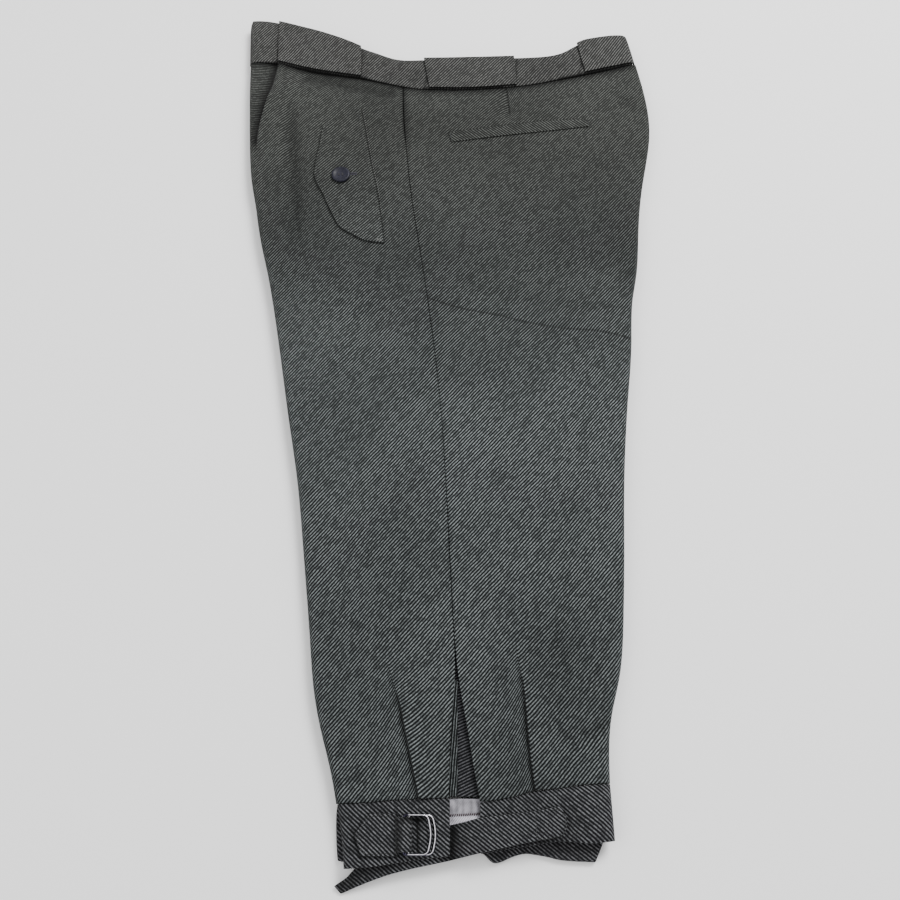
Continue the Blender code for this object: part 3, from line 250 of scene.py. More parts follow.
class Graph:
    """A material's shader graph while it is put together."""

    def __init__(self, name: str) -> None:
        """Starts an empty Principled material of that name."""
        self.material = bpy.data.materials.new(name)
        self.material.use_nodes = True
        self.nodes = self.material.node_tree.nodes
        self.links = self.material.node_tree.links
        self.shader = self.nodes["Principled BSDF"]

    def feed(self, socket: bpy.types.NodeSocket, value: object) -> None:
        """Links a socket into another, or sets it to a plain value."""
        if isinstance(value, bpy.types.NodeSocket):
            self.links.new(value, socket)
        else:
            socket.default_value = value

    def math(self, operation: str, first: object, second: object = 0.0) -> bpy.types.NodeSocket:
        """The result of one sum on two values."""
        node = self.nodes.new("ShaderNodeMath")
        node.operation = operation
        self.feed(node.inputs[0], first)
        self.feed(node.inputs[1], second)
        return node.outputs[0]

    def mix(self, share: object, first: object, second: object) -> bpy.types.NodeSocket:
        """A colour at a share of the way from the first to the second."""
        node = self.nodes.new("ShaderNodeMix")
        node.data_type = "RGBA"
        self.feed(node.inputs["Factor"], share)
        self.feed(node.inputs["A"], first)
        self.feed(node.inputs["B"], second)
        return node.outputs["Result"]

    def shade(self, colour: object, amount: object) -> bpy.types.NodeSocket:
        """A colour multiplied by an amount."""
        node = self.nodes.new("ShaderNodeVectorMath")
        node.operation = "SCALE"
        self.feed(node.inputs[0], colour if isinstance(colour, bpy.types.NodeSocket) else colour[:3])
        self.feed(node.inputs["Scale"], amount)
        return node.outputs[0]

    def spread(self, value: object, low: float, high: float, to_low: float, to_high: float) -> object:
        """A value's range eased onto another range."""
        node = self.nodes.new("ShaderNodeMapRange")
        node.interpolation_type = "SMOOTHSTEP"
        for socket, given in zip(node.inputs[:5], (value, low, high, to_low, to_high)):
            self.feed(socket, given)
        return node.outputs[0]

    def cloud(self, where: object, scale: float, detail: float = 2.0) -> bpy.types.NodeSocket:
        """Soft noise from 0 to 1, in features of 1 / scale metres."""
        node = self.nodes.new("ShaderNodeTexNoise")
        self.feed(node.inputs["Vector"], where)
        node.inputs["Scale"].default_value = scale
        node.inputs["Detail"].default_value = detail
        return node.outputs["Fac"]

    def chance(self, first: object, second: object) -> bpy.types.NodeSocket:
        """A fixed random value for each pair of whole numbers."""
        joined = self.nodes.new("ShaderNodeCombineXYZ")
        self.feed(joined.inputs[0], first)
        self.feed(joined.inputs[1], second)
        node = self.nodes.new("ShaderNodeTexWhiteNoise")
        node.noise_dimensions = "2D"
        self.feed(node.inputs["Vector"], joined.outputs[0])
        return node.outputs["Value"]

    def weave(self) -> tuple[object, object, object]:
        """The piece's cloth coordinates: the vector, and its two parts in millimetres."""
        place = self.nodes.new("ShaderNodeUVMap")
        place.uv_map = WEAVE_MAP
        split = self.nodes.new("ShaderNodeSeparateXYZ")
        self.feed(split.inputs[0], place.outputs[0])
        across = self.math("MULTIPLY", split.outputs[0], 1000.0)
        return place.outputs[0], across, self.math("MULTIPLY", split.outputs[1], 1000.0)

    def lit(self) -> bpy.types.NodeSocket:
        """Share of the light that is left in the creases."""
        node = self.nodes.new("ShaderNodeAttribute")
        node.attribute_name = SHADE_MAP
        return self.math("SUBTRACT", 1.0, node.outputs["Fac"])

    def drift(self, low: float, high: float) -> bpy.types.NodeSocket:
        """From 0 at one place along the garment, in metres, to 1 at another."""
        split = self.nodes.new("ShaderNodeSeparateXYZ")
        self.feed(split.inputs[0], self.object_place())
        return self.spread(split.outputs[1], low, high, 0.0, 1.0)

    def object_place(self) -> bpy.types.NodeSocket:
        """The place on the object, in metres."""
        return self.nodes.new("ShaderNodeTexCoord").outputs["Object"]

    def upward(self) -> bpy.types.NodeSocket:
        """How far the object's own surface faces up, from -1 to 1."""
        split = self.nodes.new("ShaderNodeSeparateXYZ")
        self.feed(split.inputs[0], self.nodes.new("ShaderNodeTexCoord").outputs["Normal"])
        return split.outputs[2]

    def bump(self, height: object, distance: float, strength: float = 1.0) -> None:
        """Gives the shader a bump of that height map."""
        node = self.nodes.new("ShaderNodeBump")
        node.inputs["Strength"].default_value = strength
        node.inputs["Distance"].default_value = distance
        self.feed(node.inputs["Height"], height)
        self.links.new(node.outputs[0], self.shader.inputs["Normal"])

    def surface(self, **values: float) -> None:
        """Sets plain values on the shader, its spaces written as underlines."""
        for name, value in values.items():
            self.shader.inputs[name.replace("_", " ")].default_value = value


@dataclass(frozen=True)
class Twill:
    """Two-tone wool twill: pale diagonal lines of short floats on a dark ground, crisper at the knee."""

    name: str
    angle: float
    period: float = 2.2
    dark: Colour = (0.0019, 0.0023, 0.0025, 1.0)
    light: Colour = (0.152, 0.169, 0.170, 1.0)
    # darker tones with less contrast that the cloth takes on towards the waist
    waist_dark: Colour = (0.0076, 0.0080, 0.0074, 1.0)
    waist_light: Colour = (0.086, 0.091, 0.084, 1.0)
    light_share: float = 0.40
    float_length: float = 3.6
    depth: float = 1.0

    def material(self) -> bpy.types.Material:
        """Makes the finish, its lines turned by the angle from the piece's own width."""
        g = Graph(self.name)
        place, across, along = g.weave()
        turn = math.radians(self.angle)
        down = g.math("ADD", g.math("MULTIPLY", across, math.cos(turn)), g.math("MULTIPLY", along, math.sin(turn)))
        over = g.math(
            "SUBTRACT", g.math("MULTIPLY", along, math.cos(turn)), g.math("MULTIPLY", across, math.sin(turn))
        )
        sway = g.math("MULTIPLY", g.math("SUBTRACT", g.cloud(place, 14.0), 0.5), 1.3)
        wobble = g.math("MULTIPLY", g.math("SUBTRACT", g.cloud(place, 160.0), 0.5), 0.32)
        lines = g.math("ADD", g.math("DIVIDE", over, self.period), g.math("ADD", sway, wobble))
        line = g.math("FLOOR", lines)
        crest = g.math("MULTIPLY", g.math("PINGPONG", lines, 0.5), 2.0)
        yarn = g.spread(crest, 1.0 - self.light_share - 0.17, 1.0 - self.light_share + 0.22, 0.0, 1.0)
        floats = g.math("ADD", g.math("DIVIDE", down, self.float_length), g.math("MULTIPLY", g.chance(line, 3.0), 7.0))
        tone = g.chance(line, g.math("FLOOR", floats))
        tip = g.spread(g.math("PINGPONG", floats, 0.5), 0.0, 0.16, 0.45, 1.0)
        brightness = g.math("MULTIPLY", g.math("MULTIPLY", tip, yarn), g.math("ADD", g.math("MULTIPLY", tone, 0.85), 0.46))
        fuzz = g.math("MULTIPLY", g.math("SUBTRACT", g.cloud(place, 1300.0, 1.0), 0.5), 0.34)
        share = g.math("MAXIMUM", g.math("ADD", brightness, fuzz), 0.0)
        # this share, named wear, follows place along the garment and not use: 0 near the knee, 1 towards the waist
        wear = g.drift(-0.07, 0.29)
        # painted uneven shading: random broad patches a little darker and lighter
        patch_shade = g.spread(g.cloud(g.object_place(), 8.0, 3.0), 0.3, 0.7, 0.84, 1.12)
        ground = g.mix(wear, self.dark, self.waist_dark)
        colour = g.mix(share, ground, g.mix(wear, self.light, self.waist_light))
        # the colour is darkened by the painted crease shade and by the patches of painted shading
        colour = g.shade(colour, g.math("MULTIPLY", patch_shade, g.lit()))
        g.feed(g.shader.inputs["Base Color"], colour)
        g.surface(Roughness=0.92, Sheen_Weight=0.04, Sheen_Roughness=0.55, Specular_IOR_Level=0.12)
        height = g.math("ADD", g.math("MULTIPLY", brightness, 0.8), g.math("MULTIPLY", fuzz, 1.2))
        g.bump(height, 0.0003 * self.depth, 0.75)
        return g.material


@dataclass(frozen=True)
class Lining:
    """Pale cotton lining with a fine woven hatch and painted shade of small folds."""

    name: str = "pale_lining"
    colour: Colour = (0.43, 0.415, 0.46, 1.0)

    def material(self) -> bpy.types.Material:
        """Makes the finish."""
        g = Graph(self.name)
        place, across, along = g.weave()
        lines = g.math("DIVIDE", g.math("SUBTRACT", along, g.math("MULTIPLY", across, 1.3)), 2.3)
        hatch = g.math("MULTIPLY", g.math("PINGPONG", lines, 0.5), 2.0)
        lower = g.spread(along, -361.0, -356.5, 1.0, 0.15)
        # painted shade of small soft folds: random noise that darkens and brightens the lining's tone
        fold_shade_noise = g.cloud(place, 150.0, 4.0)
        ribs = g.math("MULTIPLY", g.math("MULTIPLY", hatch, lower), 0.75)
        tone = g.math("ADD", ribs, g.math("ADD", g.math("MULTIPLY", fold_shade_noise, 1.0), 0.12))
        g.feed(g.shader.inputs["Base Color"], g.shade(self.colour, g.math("MULTIPLY", tone, g.lit())))
        g.surface(Roughness=0.62, Sheen_Weight=0.15, Specular_IOR_Level=0.3)
        g.bump(hatch, 0.0001)
        return g.material


@dataclass(frozen=True)
class Thread:
    """Sewing thread with a fine twist."""

    name: str
    colour: Colour

    def material(self) -> bpy.types.Material:
        """Makes the finish."""
        g = Graph(self.name)
        place = g.object_place()
        tone = g.spread(g.cloud(place, 900.0, 2.0), 0.3, 0.7, 0.72, 1.2)
        g.feed(g.shader.inputs["Base Color"], g.shade(self.colour, tone))
        g.surface(Roughness=0.6, Sheen_Weight=0.1, Specular_IOR_Level=0.3)
        g.bump(g.cloud(place, 1400.0, 1.0), 0.0001)
        return g.material


@dataclass(frozen=True)
class Horn:
    """Dark dished button stock with faint clouding and patchy roughness."""

    name: str = "dark_button_stock"
    dark: Colour = (0.005, 0.005, 0.011, 1.0)
    pale: Colour = (0.013, 0.013, 0.024, 1.0)

    def material(self) -> bpy.types.Material:
        """Makes the finish."""
        g = Graph(self.name)
        place = g.object_place()
        veins = g.spread(g.cloud(place, 260.0, 5.0), 0.35, 0.7, 0.0, 1.0)
        g.feed(g.shader.inputs["Base Color"], g.mix(veins, self.dark, self.pale))
        g.feed(g.shader.inputs["Roughness"], g.spread(g.cloud(place, 700.0, 3.0), 0.3, 0.7, 0.38, 0.55))
        g.surface(Coat_Weight=0.05, Coat_Roughness=0.35, Specular_IOR_Level=0.2)
        g.bump(g.cloud(place, 1800.0, 2.0), 0.00003)
        return g.material


@dataclass(frozen=True)
class PlatedWire:
    """Plated wire: a painted highlight on its up-facing crown, painted dark reflections on its flanks, and no highlight
    where the cloth loop shades it.
    """

    name: str = "bright_plated_wire"
    # bright colour painted on the crown as its highlight
    colour: Colour = (0.92, 0.91, 0.95, 1.0)
    # dark violet colour painted on the flanks as the dark surroundings they reflect
    shaded_flank_colour: Colour = (0.032, 0.029, 0.048, 1.0)
    # place across, in metres, up to which the painted highlight is left off, where the loop shades the wire
    loop_shadow_until: float = -0.0262

    def material(self) -> bpy.types.Material:
        """Makes the finish."""
        g = Graph(self.name)
        place = g.object_place()
        marks = g.cloud(place, 2200.0, 2.0)
        scuff = g.spread(g.cloud(place, 420.0, 4.0), 0.52, 0.72, 0.0, 1.0)
        # painted highlight: the more the wire faces up, the more of the bright colour it takes
        highlight_facing = g.spread(g.upward(), 0.90, 0.995, 0.0, 1.0)
        split = g.nodes.new("ShaderNodeSeparateXYZ")
        g.feed(split.inputs[0], place)
        # painted shadow: no highlight on the wire up to the loop's edge
        out_of_loop_shadow = g.spread(split.outputs[0], self.loop_shadow_until, self.loop_shadow_until + 0.0015, 0.0, 1.0)
        painted_highlight = g.math("MULTIPLY", g.math("MULTIPLY", highlight_facing, out_of_loop_shadow), g.spread(scuff, 0.0, 1.0, 1.0, 0.7))
        g.feed(g.shader.inputs["Base Color"], g.mix(painted_highlight, self.shaded_flank_colour, self.colour))
        g.feed(g.shader.inputs["Roughness"], g.math("ADD", g.math("MULTIPLY", scuff, 0.16), 0.10))
        g.surface(Metallic=1.0)
        g.bump(marks, 0.00001)
        return g.material


@dataclass
class Tailor:
    """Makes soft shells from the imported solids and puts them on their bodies.

    Attributes:
        nodes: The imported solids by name.
        body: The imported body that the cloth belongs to.
    """

    nodes: dict[str, bpy.types.Object]
    body: str = "garment"

    def add(self, name: str, mesh: bpy.types.Mesh, finish: bpy.types.Material) -> bpy.types.Object:
        """Adds an object with a mesh and a finish to the scene."""
        made = bpy.data.objects.new(name, mesh)
        bpy.context.scene.collection.objects.link(made)
        mesh.materials.clear()
        mesh.materials.append(finish)
        mesh.shade_smooth()
        return made

    def baked(self, made: bpy.types.Object) -> bpy.types.Object:
        """Turns an object's modifiers into plain mesh."""
        bpy.context.view_layer.update()
        graph = bpy.context.evaluated_depsgraph_get()
        mesh = bpy.data.meshes.new_from_object(made.evaluated_get(graph))
        made.modifiers.clear()
        made.data = mesh
        mesh.shade_smooth()
        return made

    def quads(self, node: str) -> bmesh.types.BMesh:
        """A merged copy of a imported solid, its triangles joined into quads."""
        bm = bmesh.new()
        bm.from_mesh(self.nodes[node].data)
        bmesh.ops.remove_doubles(bm, verts=bm.verts, dist=1e-6)
        bmesh.ops.join_triangles(
            bm,
            faces=bm.faces,
            angle_face_threshold=math.radians(60.0),
            angle_shape_threshold=math.radians(120.0),
        )
        return bm

    def shell(
        self, node: str, finish: bpy.types.Material, levels: int = 2, rim: float = 0.6
    ) -> bpy.types.Object:
        """A soft shell on a packed cloth solid.

        Args:
            node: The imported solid.
            finish: The cloth's material.
            levels: How often its faces are divided.
            rim: How far its hard edges are rounded, in millimetres; 0 leaves them to the division.

        Returns:
            The new piece, named after the solid.
        """
        bm = self.quads(node)
        if rim:
            hard = [e for e in bm.edges if len(e.link_faces) == 2 and e.calc_face_angle(0.0) > math.radians(58.0)]
            bmesh.ops.bevel(
                bm,
                geom=hard,
                offset=rim * MM,
                offset_type="OFFSET",
                segments=2,
                profile=0.5,
                affect="EDGES",
                material=-1,
                clamp_overlap=True,
            )
        mesh = bpy.data.meshes.new(node)
        bm.to_mesh(mesh)
        bm.free()
        made = self.add("cloth_" + node, mesh, finish)
        divide = made.modifiers.new("soft", "SUBSURF")
        divide.levels = divide.render_levels = levels
        divide.use_limit_surface = False
        return self.baked(made)

    def refine(self, piece: bpy.types.Object, creases: Sequence[Crease], reaches: Sequence[float]) -> None:
        """Divides a piece's upper faces more finely along creases.

        Args:
            piece: The cloth.
            creases: The lines to refine along.
            reaches: How far from the lines each further division goes, in millimetres.
        """
        bm = bmesh.new()
        bm.from_mesh(piece.data)
        for reach in reaches:
            bm.normal_update()
            faces = [f for f in bm.faces if f.normal.z > 0.4]
            middles = np.array([f.calc_center_median()[:2] for f in faces]) / MM
            chosen = np.zeros(len(faces), bool)
            for crease in creases:
                close = crease.near(middles[:, 0], middles[:, 1])
                away, _ = crease.measure(middles[close, 0], middles[close, 1])
                chosen[close] |= np.abs(away) < reach
            edges = {e for f, near in zip(faces, chosen) if near for e in f.edges}
            bmesh.ops.subdivide_edges(bm, edges=list(edges), cuts=1, use_grid_fill=True)
        bm.to_mesh(piece.data)
        bm.free()
        piece.data.shade_smooth()

    def press(self, piece: bpy.types.Object, relief: Relief, shading: float = 1.0, rim_shade: float = 0.5) -> None:
        """Moves a piece's upper face as a relief says, and writes how dark its creases and rims are.

        Args:
            piece: The cloth.
            relief: The creases that are pressed into it.
            shading: How much of the creases' darkness it takes on.
            rim_shade: Share of the light that is lost where the cloth turns down.
        """
        mesh = piece.data
        count = len(mesh.vertices)
        places = np.empty(count * 3, np.float64)
        mesh.vertices.foreach_get("co", places)
        places = places.reshape(-1, 3)
        facing = np.empty(count * 3, np.float64)
        mesh.vertex_normals.foreach_get("vector", facing)
        upward = eased(facing.reshape(-1, 3)[:, 2] / 0.7)
        x, y = places[:, 0] / MM, places[:, 1] / MM
        steep = np.clip(1.0 - facing.reshape(-1, 3)[:, 2], 0.0, 1.0)
        shade = np.maximum(shading * relief.total("shade", x, y), rim_shade * steep)
        layer = mesh.attributes.new(SHADE_MAP, "FLOAT", "POINT")
        layer.data.foreach_set("value", np.clip(shade, 0.0, 0.92))
        places[:, 2] += relief.lift(x, y) * upward * MM
        mesh.vertices.foreach_set("co", places.ravel())
        mesh.update()

    def lay_weave(
        self,
        piece: bpy.types.Object,
        turn: Turn,
        top: float,
        drag: Callable[[np.ndarray, np.ndarray], np.ndarray] | None = None,
        swing: Callable[[np.ndarray, np.ndarray], tuple[np.ndarray, np.ndarray]] | None = None,
    ) -> None:
        """Writes the cloth coordinates that the weave follows, in metres.

        Args:
            piece: The cloth.
            turn: Where it turns down.
            top: Height of its upper face, in millimetres.
            drag: How far the weave is dragged along at each place, in millimetres.
            swing: Turns the weave's places about a line, in millimetres.
        """
        mesh = piece.data
        layer = mesh.uv_layers.new(name=WEAVE_MAP)
        places = np.empty(len(mesh.vertices) * 3)
        mesh.vertices.foreach_get("co", places)
        places = places.reshape(-1, 3) / MM
        corner = np.empty(len(mesh.loops), np.int64)
        mesh.loops.foreach_get("vertex_index", corner)
        faces = np.empty(len(mesh.polygons) * 3)
        mesh.polygons.foreach_get("normal", faces)
        sizes = np.empty(len(mesh.polygons), np.int64)
        mesh.polygons.foreach_get("loop_total", sizes)
        normal = np.repeat(faces.reshape(-1, 3), sizes, axis=0)
        x, y, z = places[corner].T
        fall = top - z
        steep = np.abs(normal[:, 2]) < 0.6
        on_side = steep & (np.abs(normal[:, 0]) >= np.abs(normal[:, 1]))
        on_end = steep & ~on_side
        folded = turn.pull(x)
        across = x + np.where((folded == 0.0) & on_side, np.sign(normal[:, 0]), folded) * fall
        along = y + np.where(on_end, np.sign(normal[:, 1]) * fall, 0.0)
        if drag is not None:
            along = along + drag(x, y)
        if swing is not None:
            across, along = swing(across, along)
        layer.data.foreach_set("uv", (np.column_stack([across, along]) * MM).ravel())

    def wear(self, piece: bpy.types.Object, slot: str, *nodes: str, body: str | None = None) -> bpy.types.Object:
        """Puts a piece on its body, in the place of the solids it stands for, and hides those solids."""
        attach(piece, body or self.body)
        if nodes:
            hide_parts(*nodes)
        log.info("%s: %d faces", piece.name, len(piece.data.polygons))
        return piece

    def cut(
        self,
        piece: bpy.types.Object,
        flat: Point,
        area: float,
        rests_on: Sequence[str] = (),
        with_pieces: Sequence[bpy.types.Object] = (),
    ) -> None:
        """Logs a cloth piece's measured area beside the stated area of its cut, in square metres."""
        own = sum(p.area for p in piece.data.polygons) / 2.0
        log.info("%s: measured %.5f, stated %.5f square metres", piece.name, own, area)


@dataclass
class Needle:
    """Sews runs of thread onto finished pieces."""

    tailor: Tailor

    def ground(self, piece: bpy.types.Object) -> BVHTree:
        """A search tree of a piece's faces."""
        bm = bmesh.new()
        bm.from_mesh(piece.data)
        tree = BVHTree.FromBMesh(bm)
        bm.free()
        return tree

    def surface(self, tree: BVHTree, x: float, y: float, otherwise: float) -> float:
        """Height of a piece's upper face at a place, in millimetres."""
        hit = tree.ray_cast(Vector((x * MM, y * MM, 0.1)), Vector((0.0, 0.0, -1.0)))
        return hit[0].z / MM if hit[0] is not None else otherwise

    def stitch(self, bm: bmesh.types.BMesh, start: Vector, end: Vector, thick: float) -> None:
        """Adds one rounded stitch between two points, in millimetres."""
        along = end - start
        turned = along.to_track_quat("X", "Z").to_matrix().to_4x4()
        sized = Matrix.Diagonal((along.length / 2.0 * MM, thick / 2.0 * MM, thick / 2.0 * MM, 1.0))
        placed = Matrix.Translation((start + end) / 2.0 * MM) @ turned @ sized
        bmesh.ops.create_uvsphere(bm, u_segments=8, v_segments=6, radius=1.0, matrix=placed)

    def run(
        self,
        name: str,
        piece: bpy.types.Object,
        lines: Sequence[Sequence[Point]],
        finish: bpy.types.Material,
        length: float = 2.2,
        gap: float = 0.8,
        thick: float = 0.55,
        sink: float = 0.25,
        slant: float = 0.0,
    ) -> bpy.types.Object:
        """Sews a running stitch along lines on a piece's upper face.

        Args:
            name: Name of the new piece.
            piece: The cloth that is sewn.
            lines: The lines, in millimetres.
            finish: The thread's material.
            length: Length of a stitch.
            gap: Gap between two stitches.
            thick: Thickness of the thread.
            sink: Share of the thickness that is sunk into the cloth.
            slant: How far each stitch ends beside the line.

        Returns:
            All the stitches as one object.
        """
        tree = self.ground(piece)
        bm = bmesh.new()
        for given in lines:
            line = smooth_line(given, 16)
            steps = np.hypot(*np.diff(line, axis=0).T)
            reach = np.concatenate([[0.0], np.cumsum(steps)])
            count = max(1, int(reach[-1] / (length + gap)))
            pitch = reach[-1] / count
            for k in range(count):
                ends = (k * pitch + gap / 2.0, (k + 1) * pitch - gap / 2.0)
                points = []
                for share, away in zip(ends, (-slant, slant)):
                    x = float(np.interp(share, reach, line[:, 0]))
                    y = float(np.interp(share, reach, line[:, 1])) + away
                    z = self.surface(tree, x, y, LEGS_TOP) + thick * (0.5 - sink)
                    points.append(Vector((x, y, z)))
                self.stitch(bm, points[0], points[1], thick)
        mesh = bpy.data.meshes.new(name)
        bm.to_mesh(mesh)
        bm.free()
        return self.tailor.add(name, mesh, finish)


WAIST_SEAM: tuple[Point, ...] = (
    (-197.9, 356.3),
    (-170.9, 355.8),
    (-146.9, 348.8),
    (-112.9, 341.1),
    (-79.9, 335.4),
    (-46.9, 326.2),
    (-20.9, 321.8),
    (17.1, 321.2),
    (56.1, 323.8),
    (85.1, 327.6),
    (114.1, 334.6),
    (156.1, 345.6),
    (191.1, 354.8),
)
SIDE_SEAM: tuple[Point, ...] = (
    (-42.1, 332.8),
    (-40.1, 279.8),
    (-36.5, 238.8),
    (-32.0, 194.8),
    (-21.3, 120.8),
    (-11.6, 50.8),
    (-2.9, -31.2),
    (1.9, -107.2),
    (5.9, -187.2),
    (9.5, -254.2),
)
WAIST_PLEAT: tuple[Point, ...] = (
    (-168.5, 355.8),
    (-171.5, 328.8),
    (-176.6, 307.8),
    (-179.9, 287.8),
    (-182.3, 264.8),
    (-181.9, 242.8),
)
FLAP_FRONT: tuple[Point, ...] = (
    (-118.6, 272.9),
    (-120.8, 248.8),
    (-123.5, 228.8),
    (-124.3, 214.0),
    (-115.8, 195.0),
    (-104.7, 168.9),
    (-97.1, 154.4),
    (-85.8, 147.4),
    (-73.5, 139.4),
    (-57.0, 137.4),
)
FLAP_REAR: tuple[Point, ...] = (
    (-82.4, 293.2),
    (-77.6, 266.9),
    (-73.7, 242.8),
    (-69.3, 218.8),
    (-64.7, 197.8),
    (-60.7, 170.8),
    (-57.0, 138.0),
)
FLAP_TOP: tuple[Point, ...] = ((-118.6, 272.9), (-100.5, 283.2), (-82.4, 293.2))
WELT_EDGES: tuple[tuple[Point, ...], ...] = (
    ((6.2, 253.6), (61.8, 262.4), (106.4, 268.0), (140.8, 272.9)),
    ((2.9, 265.4), (64.1, 275.2), (107.0, 280.4), (139.3, 281.8)),
)
FRONT_KNEE_PLEAT: tuple[Point, ...] = (
    (-44.9, -237.2),
    (-40.3, -259.2),
    (-33.3, -280.2),
    (-26.7, -311.2),
    (-20.0, -339.2),
    (-18.6, -348.2),
)
BACK_KNEE_PLEAT: tuple[Point, ...] = (
    (56.1, -229.2),
    (58.2, -249.2),
    (61.6, -268.2),
    (63.4, -299.2),
    (65.3, -323.2),
    (67.9, -343.2),
)
CROSS_CREASE: tuple[Point, ...] = (
    (-20.9, 81.8),
    (12.1, 69.4),
    (48.1, 61.2),
    (78.1, 53.0),
    (108.1, 47.9),
    (137.1, 45.9),
    (165.1, 38.8),
)
KNEE_SEAM: tuple[Point, ...] = (
    (-80.9, -351.4),
    (-58.9, -350.7),
    (-30.9, -348.6),
    (4.1, -347.5),
    (27.1, -350.0),
    (49.1, -347.2),
    (68.1, -342.3),
    (87.1, -340.5),
    (107.1, -337.7),
    (126.1, -337.0),
)
DART: tuple[Point, ...] = ((61.2, 322.0), (62.0, 311.0), (62.7, 298.4), (63.7, 277.4))
VENT_EDGES: tuple[tuple[Point, ...], ...] = (
    ((9.4, -253.2), (7.1, -279.2), (5.5, -305.2), (4.5, -323.2), (4.1, -347.2)),
    ((9.4, -253.2), (14.5, -279.2), (19.1, -305.2), (21.8, -323.2), (26.6, -347.2)),
)

SHARP_CREASES = (
    Crease(WAIST_SEAM, dark=0.8, soft=(1.0, 4.8), fade=(0.0, 0.0)),
    Crease(SIDE_SEAM, dark=0.3, soft=(0.9, 0.9), fade=(0.05, 0.0)),
    Crease(WAIST_PLEAT, left=0.4, right=-0.4, reach=(8.0, 6.0), dark=0.88, soft=(0.8, 8.0), fade=(0.0, 0.12)),
    Crease(
        FRONT_KNEE_PLEAT,
        left=0.5,
        right=-0.5,
        reach=(12.0, 7.0),
        dark=0.78,
        soft=(0.5, 2.8),
        fade=(0.5, 0.0),
        drag=(-4.5, -10.0),
        dragged=(16.0, 12.0),
    ),
    Crease(
        BACK_KNEE_PLEAT,
        left=0.5,
        right=-0.5,
        reach=(12.0, 7.0),
        dark=0.78,
        soft=(0.5, 2.6),
        fade=(0.5, 0.0),
        drag=(-4.5, -9.0),
        dragged=(16.0, 11.0),
    ),
    Crease(CROSS_CREASE, left=-0.25, right=0.6, reach=(6.0, 9.0), dark=0.88, soft=(1.3, 0.9), fade=(0.05, 0.0)),
    Crease(
        DART,
        left=0.25,
        right=-0.25,
        dark=0.72,
        soft=(0.9, 0.9),
        fade=(0.0, 0.3),
        drag=(6.0, 6.0),
        dragged=(8.0, 8.0),
    ),
    Crease(FLAP_FRONT, dark=0.3, soft=(1.2, 1.2), fade=(0.0, 0.0)),
    Crease(FLAP_REAR, dark=0.55, soft=(1.5, 1.5), fade=(0.0, 0.0)),
    Crease(FLAP_TOP, dark=0.3, soft=(1.2, 1.2), fade=(0.0, 0.0)),
    Crease(WELT_EDGES[0], dark=0.1, soft=(1.2, 1.2), fade=(0.0, 0.0)),
    Crease(WELT_EDGES[1], dark=0.25, soft=(1.0, 1.0), fade=(0.0, 0.0)),
    Crease(KNEE_SEAM, dark=0.5, soft=(1.6, 1.6), fade=(0.0, 0.0)),
    Crease(VENT_EDGES[0], dark=0.35, soft=(1.3, 0.5), fade=(0.3, 0.0)),
    Crease(VENT_EDGES[1], dark=0.4, soft=(0.4, 2.2), fade=(0.3, 0.0)),
)
SOFT_CREASES = (
    Crease(
        ((-145.1, 338.1), (-114.8, 330.5), (-74.6, 320.3), (-44.7, 312.7)),
        -0.8,
        -0.8,
        (7.0, 7.0),
        0.5,
        (9.0, 9.0),
        (0.1, 0.1),
    ),
    Crease(SIDE_SEAM[:3], -0.7, -0.7, (4.0, 2.5), 0.62, (3.4, 1.8), (0.15, 0.4)),
    Crease(
        ((-153.6, 318.5), (-148.5, 270.0), (-142.5, 221.0), (-138.0, 175.0), (-135.1, 120.1)),
        -1.0,
        -1.0,
        (9.0, 9.0),
        0.48,
        (6.0, 6.0),
    ),
    Crease(((-166.0, 300.0), (-163.0, 262.0), (-158.0, 226.0)), 0.6, 0.6, (8.0, 8.0)),
    Crease(
        ((-10.6, 90.3), (22.8, 88.2), (55.2, 85.0), (93.7, 76.2), (138.4, 72.5), (168.4, 79.8)),
        -0.7,
        -0.7,
        (7.0, 7.0),
        0.2,
        (8.0, 8.0),
    ),
    Crease(((98.9, -304.3), (110.5, -299.9), (122.2, -292.6), (129.3, -288.1)), -0.9, -0.9, (6.0, 6.0), 0.45, (5.0, 5.0)),
    Crease(((96.0, -318.0), (112.0, -312.0), (128.0, -303.0)), 0.6, 0.6, (5.0, 5.0)),
    Crease(((172.7, 313.4), (180.1, 305.9), (187.3, 295.9)), -0.8, -0.8, (6.0, 6.0), 0.4, (5.0, 5.0)),
    Crease(((150.0, 330.0), (166.0, 322.0), (186.0, 316.0)), 0.6, 0.6),
    Crease(((-96.0, -20.0), (-84.0, -92.0), (-78.0, -150.0)), -0.4, -0.4, (12.0, 12.0)),
    Crease(((96.0, 20.0), (104.0, -60.0), (98.0, -140.0)), -0.35, -0.35, (14.0, 14.0)),
    Crease(((40.0, 240.0), (86.0, 228.0), (140.0, 232.0)), -0.4, -0.4, (11.0, 11.0)),
    Crease(((-60.0, 40.0), (-92.0, 66.0), (-128.0, 74.0)), -0.3, -0.3, (10.0, 10.0)),
    Crease(((-14.0, -300.0), (-6.0, -318.0), (2.0, -344.0)), 0.5, 0.5),
    Crease(((36.0, -270.0), (42.0, -306.0), (46.0, -344.0)), 0.5, 0.5, (8.0, 8.0)),
    Crease(((-200.0, 120.0), (0.0, 118.0), (200.0, 132.0)), dark=0.24, soft=(55.0, 50.0), fade=(0.0, 0.0)),
    Crease(((92.0, -205.0), (94.0, -270.0), (94.0, -345.0)), dark=0.24, soft=(34.0, 34.0), fade=(0.2, 0.0)),
    Crease(((44.0, -225.0), (49.0, -290.0), (52.0, -345.0)), dark=0.22, soft=(14.0, 14.0), fade=(0.2, 0.0)),
)
LEG_RELIEF = Relief(SHARP_CREASES + SOFT_CREASES)


